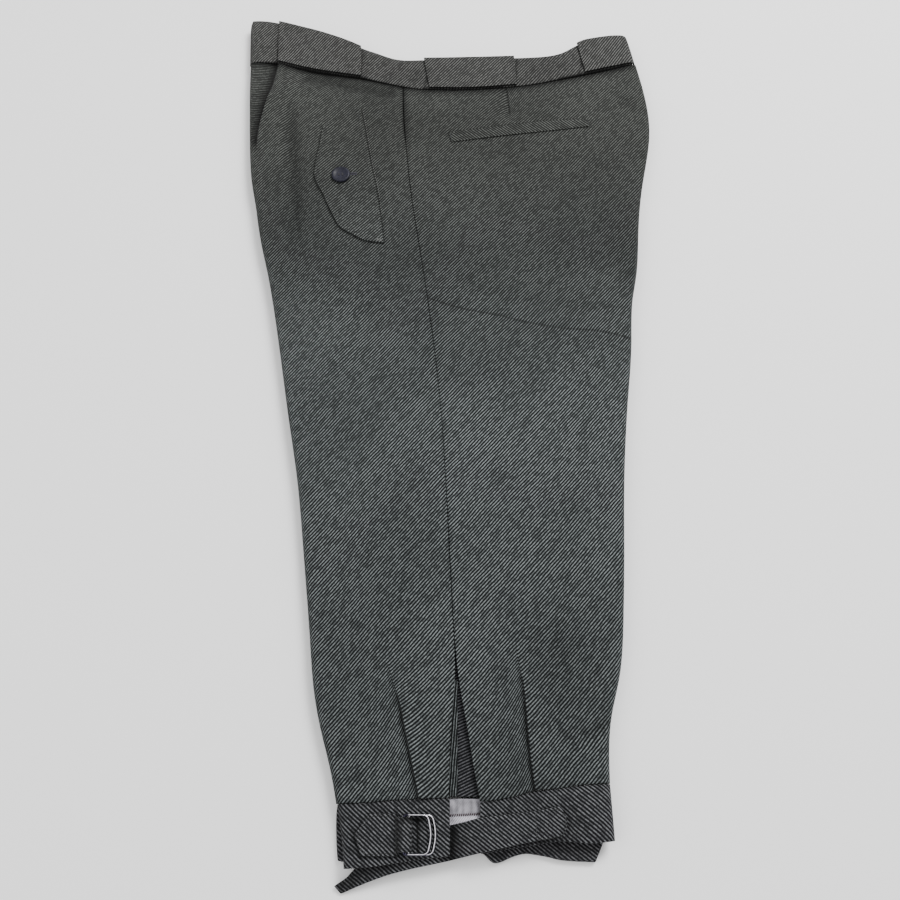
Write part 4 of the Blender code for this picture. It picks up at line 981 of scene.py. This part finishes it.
@dataclass
class Legs:
    """The left leg's two panels on top, and the right leg and inner layers as one layered form beneath."""

    tailor: Tailor
    pleat_foot: float = 243.0
    pleat_reach: float = 28.0
    twill_angle: float = 49.0

    def drag(self, x: np.ndarray, y: np.ndarray) -> np.ndarray:
        """How far the weave is dragged along by the pleats and the dart."""
        return LEG_RELIEF.total("pulled", x, y)

    def swing(self, across: np.ndarray, along: np.ndarray) -> tuple[np.ndarray, np.ndarray]:
        """Turns the weave of the waist pleat's underlay until its lines lie across the leg."""
        xs, ys = zip(*reversed(WAIST_PLEAT))
        beyond = eased((np.interp(along, ys, xs) - across) / 0.8)
        strength = eased((along - self.pleat_foot) / self.pleat_reach)
        turn = math.radians(self.twill_angle + 2.0) * beyond * strength
        pivot_x, pivot_y = xs[0], self.pleat_foot + self.pleat_reach / 2.0
        x, y = across - pivot_x, along - pivot_y
        return (
            pivot_x + x * np.cos(turn) - y * np.sin(turn),
            pivot_y + x * np.sin(turn) + y * np.cos(turn),
        )

    def build(self) -> dict[str, bpy.types.Object]:
        """Builds the panels and the hidden layers."""
        front = self.tailor.shell("front_panel", Twill("twill_front_leg", self.twill_angle).material(), rim=0.22)
        back = self.tailor.shell("back_panel", Twill("twill_back_leg", self.twill_angle - 1.0).material(), rim=0.22)
        under = self.tailor.shell("hidden_layers", Twill("twill_under_leg", 131.0).material(), rim=0.0)
        for piece in (front, back):
            self.tailor.refine(piece, SHARP_CREASES, (6.0, 2.4))
            self.tailor.press(piece, LEG_RELIEF)
        self.tailor.lay_weave(front, Turn.FRONT_FOLD, LEGS_TOP, self.drag, self.swing)
        self.tailor.lay_weave(back, Turn.BACK_FOLD, LEGS_TOP, self.drag)
        self.tailor.lay_weave(under, Turn.BOTH_FOLDS, 7.0)
        for piece, node in ((front, "front_panel"), (back, "back_panel"), (under, "hidden_layers")):
            self.tailor.wear(piece, "wool_twill", node)
        self.tailor.cut(front, (0.24, 0.72), 0.125, ["hidden_layers"])
        self.tailor.cut(back, (0.26, 0.72), 0.138, ["hidden_layers"])
        self.tailor.cut(under, (0.42, 0.72), 0.25)
        return {"front": front, "back": back, "under": under}


@dataclass
class WaistBand:
    """Both halves of the waistband and the wide belt tunnels on the upper one."""

    tailor: Tailor
    dark: Colour = (0.0096, 0.0096, 0.0092, 1.0)
    light: Colour = (0.108, 0.109, 0.104, 1.0)

    def twill(self, name: str, angle: float, period: float = 2.35) -> bpy.types.Material:
        """The band's cloth, its waist tones a little paler than the legs'."""
        return Twill(name, angle, period, waist_dark=self.dark, waist_light=self.light).material()

    def relief(self) -> Relief:
        """Its creases, and the roll of its lower edge over the legs."""
        tunnel_sides = (
            ((-167.4, 400.0), (-168.5, 378.0), (-170.0, 357.0)),
            ((-83.0, 386.0), (-83.6, 360.0), (-84.8, 337.0)),
            ((-14.4, 370.0), (-17.0, 345.0), (-21.0, 321.0)),
            ((72.0, 372.0), (71.2, 348.0), (70.0, 325.0)),
            ((141.2, 384.0), (138.0, 362.0), (134.0, 341.0)),
        )
        tunnel_feet = (WAIST_SEAM[1:5], WAIST_SEAM[6:9], WAIST_SEAM[10:])
        return Relief(
            (
                Crease(WAIST_SEAM, 0.55, 0.55, (11.0, 11.0), 0.6, (0.9, 3.0), (0.03, 0.03)),
                Crease(((-190.0, 372.0), (-150.0, 366.0), (-110.0, 352.0)), -0.3, -0.3),
                Crease(((-60.0, 344.0), (-40.0, 337.0), (-18.0, 336.0)), -0.6, -0.6, (8.0, 8.0), 0.15, (6.0, 6.0)),
                Crease(((76.0, 344.0), (100.0, 346.0), (128.0, 352.0)), -0.5, -0.5, (7.0, 7.0), 0.12, (5.0, 5.0)),
                *(Crease(side, dark=0.5, soft=(1.2, 1.2), fade=(0.0, 0.0)) for side in tunnel_sides),
                *(Crease(foot, dark=0.8, soft=(2.4, 2.6), fade=(0.0, 0.0)) for foot in tunnel_feet),
            ),
            swell=0.3,
            reach=40.0,
            fine=0.15,
        )

    def build(self) -> dict[str, bpy.types.Object]:
        """Builds the band's halves and its tunnels."""
        relief = self.relief()
        cloth = self.twill("twill_waistband", 52.0)
        upper = self.tailor.shell("waistband_left", cloth, rim=1.0)
        self.tailor.refine(upper, relief.creases[4:], (3.5, 1.6))
        self.tailor.press(upper, relief, rim_shade=0.9)
        lower = self.tailor.shell("waistband_right", cloth, rim=0.8)
        made = {"upper": upper, "lower": lower}
        for piece, node in ((upper, "waistband_left"), (lower, "waistband_right")):
            self.tailor.lay_weave(piece, Turn.BOTH_FOLDS, 12.6)
            self.tailor.wear(piece, "wool_twill", node)
            self.tailor.cut(piece, (0.40, 0.06), 0.018)
        angles = {"front": 55.0, "side": 50.0, "back": 57.0}
        flats = {"front": (0.088, 0.062), "side": (0.094, 0.042), "back": (0.066, 0.050)}
        areas = {"front": 0.0040, "side": 0.0036, "back": 0.0022}
        for key, angle in angles.items():
            node = f"belt_tunnel_{key}"
            tunnel = self.tailor.shell(node, self.twill(f"twill_tunnel_{key}", angle), rim=0.5)
            self.tailor.press(tunnel, relief, 0.0, 0.9)
            self.tailor.lay_weave(tunnel, Turn.RIM, 14.6)
            self.tailor.wear(tunnel, "wool_twill", node)
            self.tailor.cut(tunnel, flats[key], areas[key], ["waistband_left"])
            made[key] = tunnel
        return made


@dataclass
class HipPocket:
    """The shaped flap with its stitching, its button and the buttonhole."""

    tailor: Tailor
    needle: Needle
    leg: bpy.types.Object
    stitch_inset: float = 3.2
    button: Point = (-98.6, 212.7)
    button_radius: float = 8.8

    def flap(self) -> bpy.types.Object:
        """The flap and the stitching inside its edge."""
        made = self.tailor.shell("pocket_flap", Twill("twill_pocket_flap", 47.0, 2.25).material(), rim=0.8)
        self.tailor.press(made, LEG_RELIEF, 0.0, 0.25)
        self.tailor.lay_weave(made, Turn.RIM, 17.4)
        self.tailor.wear(made, "wool_twill", "pocket_flap")
        inset = self.stitch_inset
        front = [(x + inset, y + inset * 0.4) for x, y in FLAP_FRONT[:-1]] + [(-61.0, 142.0)]
        rear = [(x - inset, y) for x, y in FLAP_REAR[:-1]] + [(-61.0, 146.0)]
        thread = Thread("flap_thread", (0.030, 0.032, 0.032, 1.0)).material()
        sewn = self.needle.run("flap_stitching", made, (front, rear), thread, 2.4, 1.0, 0.5)
        pale = Thread("flap_corner_thread", (0.20, 0.20, 0.195, 1.0)).material()
        corner = self.needle.run(
            "flap_corner_tack",
            made,
            (((-63.5, 139.9), (-57.6, 139.2)), ((-63.0, 141.3), (-57.8, 140.6))),
            pale,
            1.8,
            0.4,
            0.55,
        )
        beside = [(x + 1.9, y) for x, y in FLAP_REAR[:-1]]
        dots = self.needle.run("flap_rear_tacks", self.leg, (beside,), pale, 1.1, 1.7, 0.5)
        for piece in (sewn, corner, dots):
            self.tailor.wear(piece, "wool_twill")
        self.tailor.cut(made, (0.070, 0.162), 0.0072, ["front_panel"], [sewn, corner])
        return made

    def fasten(self, flap: bpy.types.Object) -> None:
        """The button, its thread and the worked buttonhole."""
        tree = self.needle.ground(flap)
        x, y = self.button
        base = self.needle.surface(tree, x, y, 17.8) + 0.3
        rim = self.button_radius
        profile = (
            (0.0, 0.5),
            (rim * 0.6, 0.0),
            (rim * 0.88, 0.35),
            (rim * 0.98, 0.95),
            (rim, 1.5),
            (rim * 0.97, 2.1),
            (rim * 0.90, 2.65),
            (rim * 0.82, 2.75),
            (rim * 0.74, 2.5),
            (rim * 0.62, 2.0),
            (rim * 0.4, 1.75),
            (0.0, 1.7),
        )
        bm = bmesh.new()
        verts = [bm.verts.new((x * MM + r * MM, y * MM, (base + z) * MM)) for r, z in profile]
        edges = [bm.edges.new(pair) for pair in zip(verts, verts[1:])]
        centre = (x * MM, y * MM, 0.0)
        bmesh.ops.spin(
            bm, geom=verts + edges, cent=centre, axis=(0, 0, 1), angle=math.tau, steps=48, use_merge=True
        )
        bmesh.ops.remove_doubles(bm, verts=bm.verts, dist=1e-7)
        bmesh.ops.recalc_face_normals(bm, faces=bm.faces)
        mesh = bpy.data.meshes.new("button")
        bm.to_mesh(mesh)
        bm.free()
        button = self.tailor.add("flap_button_dished", mesh, Horn().material())
        self.tailor.wear(button, "dark_button", "flap_button")
        dark = Thread("button_thread", (0.010, 0.009, 0.014, 1.0)).material()
        bm = bmesh.new()
        for side in (-1.0, 1.0):
            for shift in (-0.35, 0.35):
                start = Vector((x + side * 1.7 + shift, y - 1.9, base + 1.75))
                end = Vector((x + side * 1.7 + shift, y + 1.9, base + 1.75))
                self.needle.stitch(bm, start, end, 0.9)
        mesh = bpy.data.meshes.new("button_threads")
        bm.to_mesh(mesh)
        bm.free()
        self.tailor.wear(self.tailor.add("button_threads", mesh, dark), "dark_button")
        bm = bmesh.new()
        for k in range(18):
            across = -90.6 + 6.8 * k / 17.0
            for side in (-1.0, 1.0):
                height = self.needle.surface(tree, across, y + 1.9 * side, 17.8)
                inner = Vector((across, y + 2.0 + 0.25 * side, height + 0.25))
                outer = Vector((across + 0.2, y + 2.0 + 1.5 * side, height + 0.05))
                self.needle.stitch(bm, inner, outer, 0.6)
        mesh = bpy.data.meshes.new("buttonhole")
        bm.to_mesh(mesh)
        bm.free()
        purl = Thread("buttonhole_thread", (0.020, 0.018, 0.030, 1.0)).material()
        self.tailor.wear(self.tailor.add("worked_buttonhole", mesh, purl), "wool_twill")

    def build(self) -> None:
        """Builds the flap and what fastens it."""
        self.fasten(self.flap())


@dataclass
class BackPocket:
    """The welt of the back pocket, with its bar tacks."""

    tailor: Tailor
    needle: Needle

    def build(self) -> None:
        """Builds the welt."""
        welt = self.tailor.shell("back_welt", Twill("twill_welt", -41.0, 2.3).material(), rim=0.9)
        flatter = Crease(WELT_EDGES[0], -0.65, -0.65, (40.0, 40.0), fade=(0.0, 0.0))
        self.tailor.press(welt, Relief((*LEG_RELIEF.creases, flatter)), 0.0, 0.0)
        self.tailor.lay_weave(welt, Turn.RIM, 17.0)
        self.tailor.wear(welt, "wool_twill", "back_welt")
        thread = Thread("welt_thread", (0.028, 0.030, 0.031, 1.0)).material()
        lines = (((5.0, 264.0), (6.2, 255.5)), ((138.6, 281.0), (140.0, 273.8)))
        tacks = self.needle.run("welt_tacks", welt, lines, thread, 1.6, 0.1, 0.8)
        self.tailor.wear(tacks, "wool_twill")
        self.tailor.cut(welt, (0.140, 0.016), 0.0019, ["back_panel"], [tacks])


@dataclass
class KneeVent:
    """The facing and the underlap that show in the open vent."""

    tailor: Tailor

    def build(self) -> None:
        """Builds both strips."""
        ribbed = Twill("twill_vent_facing", 85.0, 1.9, light_share=0.3, float_length=4.5)
        plain = Twill("twill_vent_underlap", 24.0, 2.15, dark=(0.002, 0.002, 0.003, 1.0), light=(0.082, 0.084, 0.090, 1.0))
        for node, cloth, flat, area in (
            ("vent_facing", ribbed, (0.012, 0.086), 0.0007),
            ("vent_underlap", plain, (0.031, 0.100), 0.0021),
        ):
            piece = self.tailor.shell(node, cloth.material(), rim=0.35)
            self.tailor.press(piece, Relief(SHARP_CREASES[-2:], swell=0.1, fine=0.05), 0.8, 0.9)
            self.tailor.lay_weave(piece, Turn.RIM, 12.0)
            self.tailor.wear(piece, "wool_twill", node)
            self.tailor.cut(piece, flat, area, ["hidden_layers"])


@dataclass
class KneeBands:
    """The left kneeband with its lining, and the right one that shows beneath it."""

    tailor: Tailor
    needle: Needle
    dark: Colour = (0.0022, 0.0023, 0.0030, 1.0)
    light: Colour = (0.118, 0.121, 0.127, 1.0)
    lining_reach: float = 3.9

    def bands(self) -> None:
        """Both bands."""
        relief = Relief(
            (
                Crease(((-77.6, -352.1), (-75.4, -370.0), (-71.7, -389.7)), -0.4, -0.4, (2.4, 2.4), 0.4, (0.9, 0.9), (0.0, 0.0)),
                Crease(((-66.0, -352.0), (-67.0, -372.0), (-65.0, -392.0)), -0.4, -0.4, (2.4, 2.4), 0.2, (2.4, 2.4)),
                Crease(KNEE_SEAM, dark=0.45, soft=(1.8, 1.8), fade=(0.0, 0.0)),
                Crease(((40.0, -358.0), (60.0, -352.0), (80.0, -350.0)), -0.4, -0.4, (4.0, 4.0), 0.15, (4.0, 4.0)),
                Crease(((94.0, -346.0), (98.0, -362.0), (96.0, -378.0)), -0.5, -0.5, (4.0, 4.0), 0.2, (4.0, 4.0)),
                Crease(((108.0, -346.0), (112.0, -362.0), (114.0, -378.0)), 0.4, 0.4, (5.0, 5.0)),
                Crease(((68.0, -357.4), (49.7, -359.2), (26.8, -362.0)), dark=0.55, soft=(1.6, 1.6), fade=(0.0, 0.0)),
                Crease(((69.0, -377.6), (51.0, -381.0), (27.2, -386.0)), dark=0.55, soft=(2.0, 2.0), fade=(0.0, 0.0)),
                Crease(((92.6, -361.0), (86.0, -353.4), (68.0, -357.4)), dark=0.5, soft=(1.6, 1.6), fade=(0.0, 0.0)),
                Crease(((92.6, -361.0), (91.0, -371.4), (87.0, -375.4), (69.0, -378.0)), dark=0.5, soft=(1.6, 1.6), fade=(0.0, 0.0)),
                Crease(((-34.0, -358.9), (-53.8, -359.0)), dark=0.55, soft=(1.5, 1.5), fade=(0.0, 0.0)),
                Crease(((-53.8, -359.0), (-64.2, -373.0), (-59.4, -387.0)), dark=0.6, soft=(1.6, 1.6), fade=(0.0, 0.0)),
                Crease(((-59.4, -387.0), (-34.0, -387.2)), dark=0.5, soft=(1.5, 1.5), fade=(0.0, 0.0)),
                Crease(((-19.4, -360.6), (-19.0, -374.0), (-18.8, -387.6)), dark=0.92, soft=(2.2, 1.0), fade=(0.1, 0.1)),
                Crease(((-20.0, -361.6), (-10.5, -361.4)), dark=0.75, soft=(1.2, 2.4), fade=(0.0, 0.1)),
            ),
            swell=0.3,
            reach=30.0,
            fine=0.2,
        )
        twill = Twill("twill_kneeband", -40.0, 2.35, dark=self.dark, light=self.light).material()
        left = self.tailor.shell("kneeband_left", twill, rim=0.8)
        self.tailor.refine(left, relief.creases, (4.0, 1.8))
        self.tailor.press(left, relief, rim_shade=0.3)
        self.tailor.lay_weave(left, Turn.BOTH_FOLDS, 14.6)
        self.tailor.wear(left, "wool_twill", "kneeband_left")
        self.tailor.cut(left, (0.41, 0.048), 0.0185)
        # its pale lines are a little lighter than the upper band's: painted light that offsets the shade it lies in
        # beneath the upper band
        under = Twill("twill_kneeband_under", -38.0, 2.3, dark=self.dark, light=(0.125, 0.126, 0.134, 1.0)).material()
        right = self.tailor.shell("kneeband_right", under, rim=0.0)
        self.tailor.lay_weave(right, Turn.RIM, 5.2)
        self.tailor.wear(right, "wool_twill", "kneeband_right")
        self.tailor.cut(right, (0.21, 0.060), 0.0105)

    def lining(self) -> None:
        """The lining between the band's ends, with its line of thread."""
        folds = Relief(
            (
                Crease(((9.0, -346.0), (9.6, -353.0), (9.2, -359.5)), -0.5, -0.5, (1.5, 1.5), 0.6, (1.5, 1.2)),
                Crease(((14.4, -346.0), (14.8, -353.0), (14.0, -360.0)), -0.45, -0.45, (1.4, 1.4), 0.45, (1.0, 1.4)),
                Crease(((20.4, -346.0), (20.0, -353.0), (20.8, -360.0)), -0.5, -0.5, (1.6, 1.6), 0.55, (1.6, 1.1)),
                Crease(((5.0, -352.0), (6.0, -360.0), (5.4, -366.0)), -0.4, -0.4, (2.2, 2.2), 0.4, (1.8, 1.8)),
                Crease(((2.0, -359.2), (16.0, -358.7), (31.0, -357.9)), -0.35, -0.35, (1.4, 1.4), 0.35, (1.3, 1.3), (0.0, 0.0)),
                Crease(((24.8, -348.0), (26.6, -354.0), (27.4, -364.0)), -0.3, -0.3, (1.4, 1.4), 0.55, (1.8, 1.2)),
            ),
            swell=0.15,
            reach=9.0,
            fine=0.1,
        )
        lining = self.tailor.shell("kneeband_lining", Lining().material(), levels=4, rim=0.3)
        for vert in lining.data.vertices:
            vert.co.y += self.lining_reach * MM * max(0.0, (vert.co.y / MM + 362.0) / 10.6)
        self.tailor.press(lining, folds)
        self.tailor.lay_weave(lining, Turn.RIM, 9.4)
        self.tailor.wear(lining, "light_lining", "kneeband_lining")
        thread = Thread("lining_thread", (0.026, 0.011, 0.014, 1.0)).material()
        line = ((4.6, -359.2), (16.0, -358.7), (28.6, -358.0))
        sewn = self.needle.run("lining_stitching", lining, (line,), thread, 0.75, 0.85, 1.0, slant=1.05)
        self.tailor.wear(sewn, "light_lining")
        self.tailor.cut(lining, (0.034, 0.023), 0.00073, ["kneeband_left"], [sewn])

    def build(self) -> None:
        """Builds the bands and the lining."""
        self.bands()
        self.lining()


@dataclass
class StrapAndRings:
    """The loose knee strap, the pointed tab with its loop, and the two wire rings."""

    tailor: Tailor
    needle: Needle
    dark: Colour = (0.0022, 0.0023, 0.0030, 1.0)
    light: Colour = (0.122, 0.125, 0.131, 1.0)

    def twill(self, name: str, angle: float) -> bpy.types.Material:
        """The straps' cloth."""
        return Twill(name, angle, 2.3, dark=self.dark, light=self.light).material()

    def strap(self) -> None:
        """The strap, its box of stitching and the line near its edge."""
        relief = Relief(
            (
                Crease(((67.2, -356.0), (67.6, -368.0), (67.8, -378.0)), -0.4, -0.4, (1.6, 1.6), 0.4, (1.2, 1.2), (0.0, 0.0)),
                Crease(((7.0, -362.0), (6.5, -376.0), (6.0, -396.0)), dark=0.92, soft=(6.0, 5.0), fade=(0.0, 0.0)),
                Crease(((-6.0, -366.0), (-24.0, -371.0), (-46.0, -379.0)), dark=0.4, soft=(5.0, 5.0)),
                Crease(((36.0, -366.0), (44.0, -372.0), (50.0, -380.0)), 0.35, 0.35, (5.0, 5.0), 0.0),
                Crease(((-30.0, -384.0), (-58.0, -396.0), (-74.0, -411.0)), -0.3, -0.3, (4.0, 4.0), 0.55, (9.0, 9.0), (0.2, 0.0)),
            ),
            swell=0.35,
            reach=22.0,
            fine=0.25,
        )
        made = self.tailor.shell("knee_strap", self.twill("twill_strap", -38.0), rim=0.5)
        self.tailor.press(made, relief)
        self.tailor.lay_weave(made, Turn.RIM, 14.0)
        self.tailor.wear(made, "wool_twill", "knee_strap")
        thread = Thread("strap_thread", (0.022, 0.023, 0.023, 1.0)).material()
        lines = (
            ((67.2, -359.2), (67.6, -368.0), (67.8, -375.6)),
            ((66.0, -359.4), (84.0, -355.4), (89.2, -361.6), (87.6, -370.0), (84.6, -374.6), (68.0, -376.2)),
        )
        sewn = self.needle.run("strap_stitching", made, lines, thread, 2.2, 0.9, 0.5)
        self.tailor.wear(sewn, "wool_twill")
        self.tailor.cut(made, (0.180, 0.024), 0.0042, ["kneeband_left"], [sewn])

    def tab(self) -> None:
        """The pointed tab and the loop of cloth that holds the rings."""
        mesh = self.tailor.nodes["ring_tab"].data.copy()
        made = self.tailor.add("cloth_ring_tab", mesh, self.twill("twill_ring_tab", -42.0))
        fused = made.modifiers.new("fused", "REMESH")
        fused.mode = "VOXEL"
        fused.voxel_size = 0.42 * MM
        eased_form = made.modifiers.new("eased", "SMOOTH")
        eased_form.iterations = 3
        eased_form.factor = 0.5
        self.tailor.baked(made)
        # painted shade in the hollow of the tab's seam, painted shadow beside the loop's end (named slot) and under the
        # ring's upper leg
        seam = Crease(((-34.6, -357.0), (-34.3, -373.0), (-34.0, -389.0)), -0.3, -0.3, (1.5, 1.5), 0.8, (2.7, 2.0), (0.0, 0.0))
        slot = Crease(((-20.4, -361.0), (-20.0, -374.0), (-19.8, -387.0)), -0.4, -0.4, (1.2, 1.2), 0.95, (2.4, 2.4), (0.1, 0.1))
        under_leg = Crease(((-31.0, -361.2), (-22.0, -361.4), (-12.0, -361.4)), dark=0.88, soft=(1.4, 3.0), fade=(0.1, 0.1))
        self.tailor.press(made, Relief((seam, slot, under_leg), swell=0.1, reach=14.0, fine=0.12))
        self.tailor.lay_weave(made, Turn.RIM, 17.2)
        self.tailor.wear(made, "wool_twill", "ring_tab")
        thread = Thread("tab_thread", (0.022, 0.023, 0.023, 1.0)).material()
        lines = (
            ((-34.6, -359.8), (-34.4, -373.0), (-34.2, -386.2)),
            ((-37.0, -360.8), (-52.6, -360.8), (-61.6, -372.9), (-57.4, -385.2), (-37.0, -385.2)),
        )
        sewn = self.needle.run("tab_stitching", made, lines, thread, 2.2, 0.9, 0.5)
        self.tailor.wear(sewn, "wool_twill")
        self.tailor.cut(made, (0.060, 0.030), 0.0016, ["kneeband_left"], [sewn])

    def rings(self) -> None:
        """Both rings as round bright wire."""
        plate = PlatedWire().material()
        for name in ("upper", "lower"):
            node = f"d_ring_{name}"
            mesh = bpy.data.meshes.new(node)
            bm = self.tailor.quads(node)
            bm.to_mesh(mesh)
            bm.free()
            made = self.tailor.add(f"wire_ring_{name}", mesh, plate)
            round_off = made.modifiers.new("round", "SUBSURF")
            round_off.levels = round_off.render_levels = 2
            fill = made.modifiers.new("fill", "DISPLACE")
            fill.strength = 0.14 * MM
            fill.mid_level = 0.0
            self.tailor.baked(made)
            self.tailor.wear(made, "polished_wire", node, body=f"{name}_ring")

    def build(self) -> None:
        """Builds the strap, the tab and the rings."""
        self.strap()
        self.tab()
        self.rings()


@dataclass
class Studio:
    """A pale floor, soft lights and the camera at the photograph's angle."""

    eye: tuple[float, float, float] = (0.0048, -0.4072, 0.8125)
    target: tuple[float, float, float] = (0.0048, -0.0657, 0.008)
    lens: float = 41.1

    def floor(self) -> None:
        """A wide pale floor just under the garment."""
        bm = bmesh.new()
        bmesh.ops.create_grid(bm, x_segments=2, y_segments=2, size=4.0, matrix=Matrix.Translation((0, 0, -0.0002)))
        mesh = bpy.data.meshes.new("floor")
        bm.to_mesh(mesh)
        bm.free()
        floor = bpy.data.objects.new("floor", mesh)
        bpy.context.scene.collection.objects.link(floor)
        g = Graph("pale_floor")
        g.surface(Roughness=0.9, Specular_IOR_Level=0.1)
        g.shader.inputs["Base Color"].default_value = (0.95, 0.95, 0.95, 1.0)
        mesh.materials.append(g.material)

    def lamp(self, name: str, place: tuple[float, float, float], size: float, power: float) -> None:
        """One soft square light aimed at the garment."""
        data = bpy.data.lights.new(name, "AREA")
        data.shape = "SQUARE"
        data.size = size
        data.energy = power
        lamp = bpy.data.objects.new(name, data)
        bpy.context.scene.collection.objects.link(lamp)
        lamp.location = place
        lamp.rotation_euler = (Vector((0, 0, 0)) - Vector(place)).to_track_quat("-Z", "Y").to_euler()

    def build(self) -> None:
        """Builds the floor, the lights, the surroundings and the camera."""
        self.floor()
        world = bpy.data.worlds.new("studio")
        world.use_nodes = True
        world.node_tree.nodes["Background"].inputs["Color"].default_value = (1.0, 1.0, 1.0, 1.0)
        world.node_tree.nodes["Background"].inputs["Strength"].default_value = 0.95
        bpy.context.scene.world = world
        self.lamp("key_light", (1.0, 1.2, 1.8), 1.0, 70.0)
        self.lamp("fill_light", (-1.5, -0.4, 1.7), 1.6, 14.0)
        data = bpy.data.cameras.new("camera")
        data.lens = self.lens
        data.sensor_width = 36.0
        data.clip_start = 0.01
        camera = bpy.data.objects.new("camera", data)
        bpy.context.scene.collection.objects.link(camera)
        camera.location = self.eye
        camera.rotation_euler = (Vector(self.target) - Vector(self.eye)).to_track_quat("-Z", "Y").to_euler()
        bpy.context.scene.camera = camera


def main() -> None:
    """Builds the garment's parts in the order of their making, and the studio round them."""
    logging.basicConfig(level=logging.INFO, format="%(name)s %(message)s")
    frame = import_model()
    tailor = Tailor(frame["nodes"])
    needle = Needle(tailor)
    legs = Legs(tailor).build()
    WaistBand(tailor).build()
    HipPocket(tailor, needle, legs["front"]).build()
    BackPocket(tailor, needle).build()
    KneeVent(tailor).build()
    KneeBands(tailor, needle).build()
    StrapAndRings(tailor, needle).build()
    Studio().build()
    bpy.context.view_layer.update()


if __name__ == "__main__":
    main()
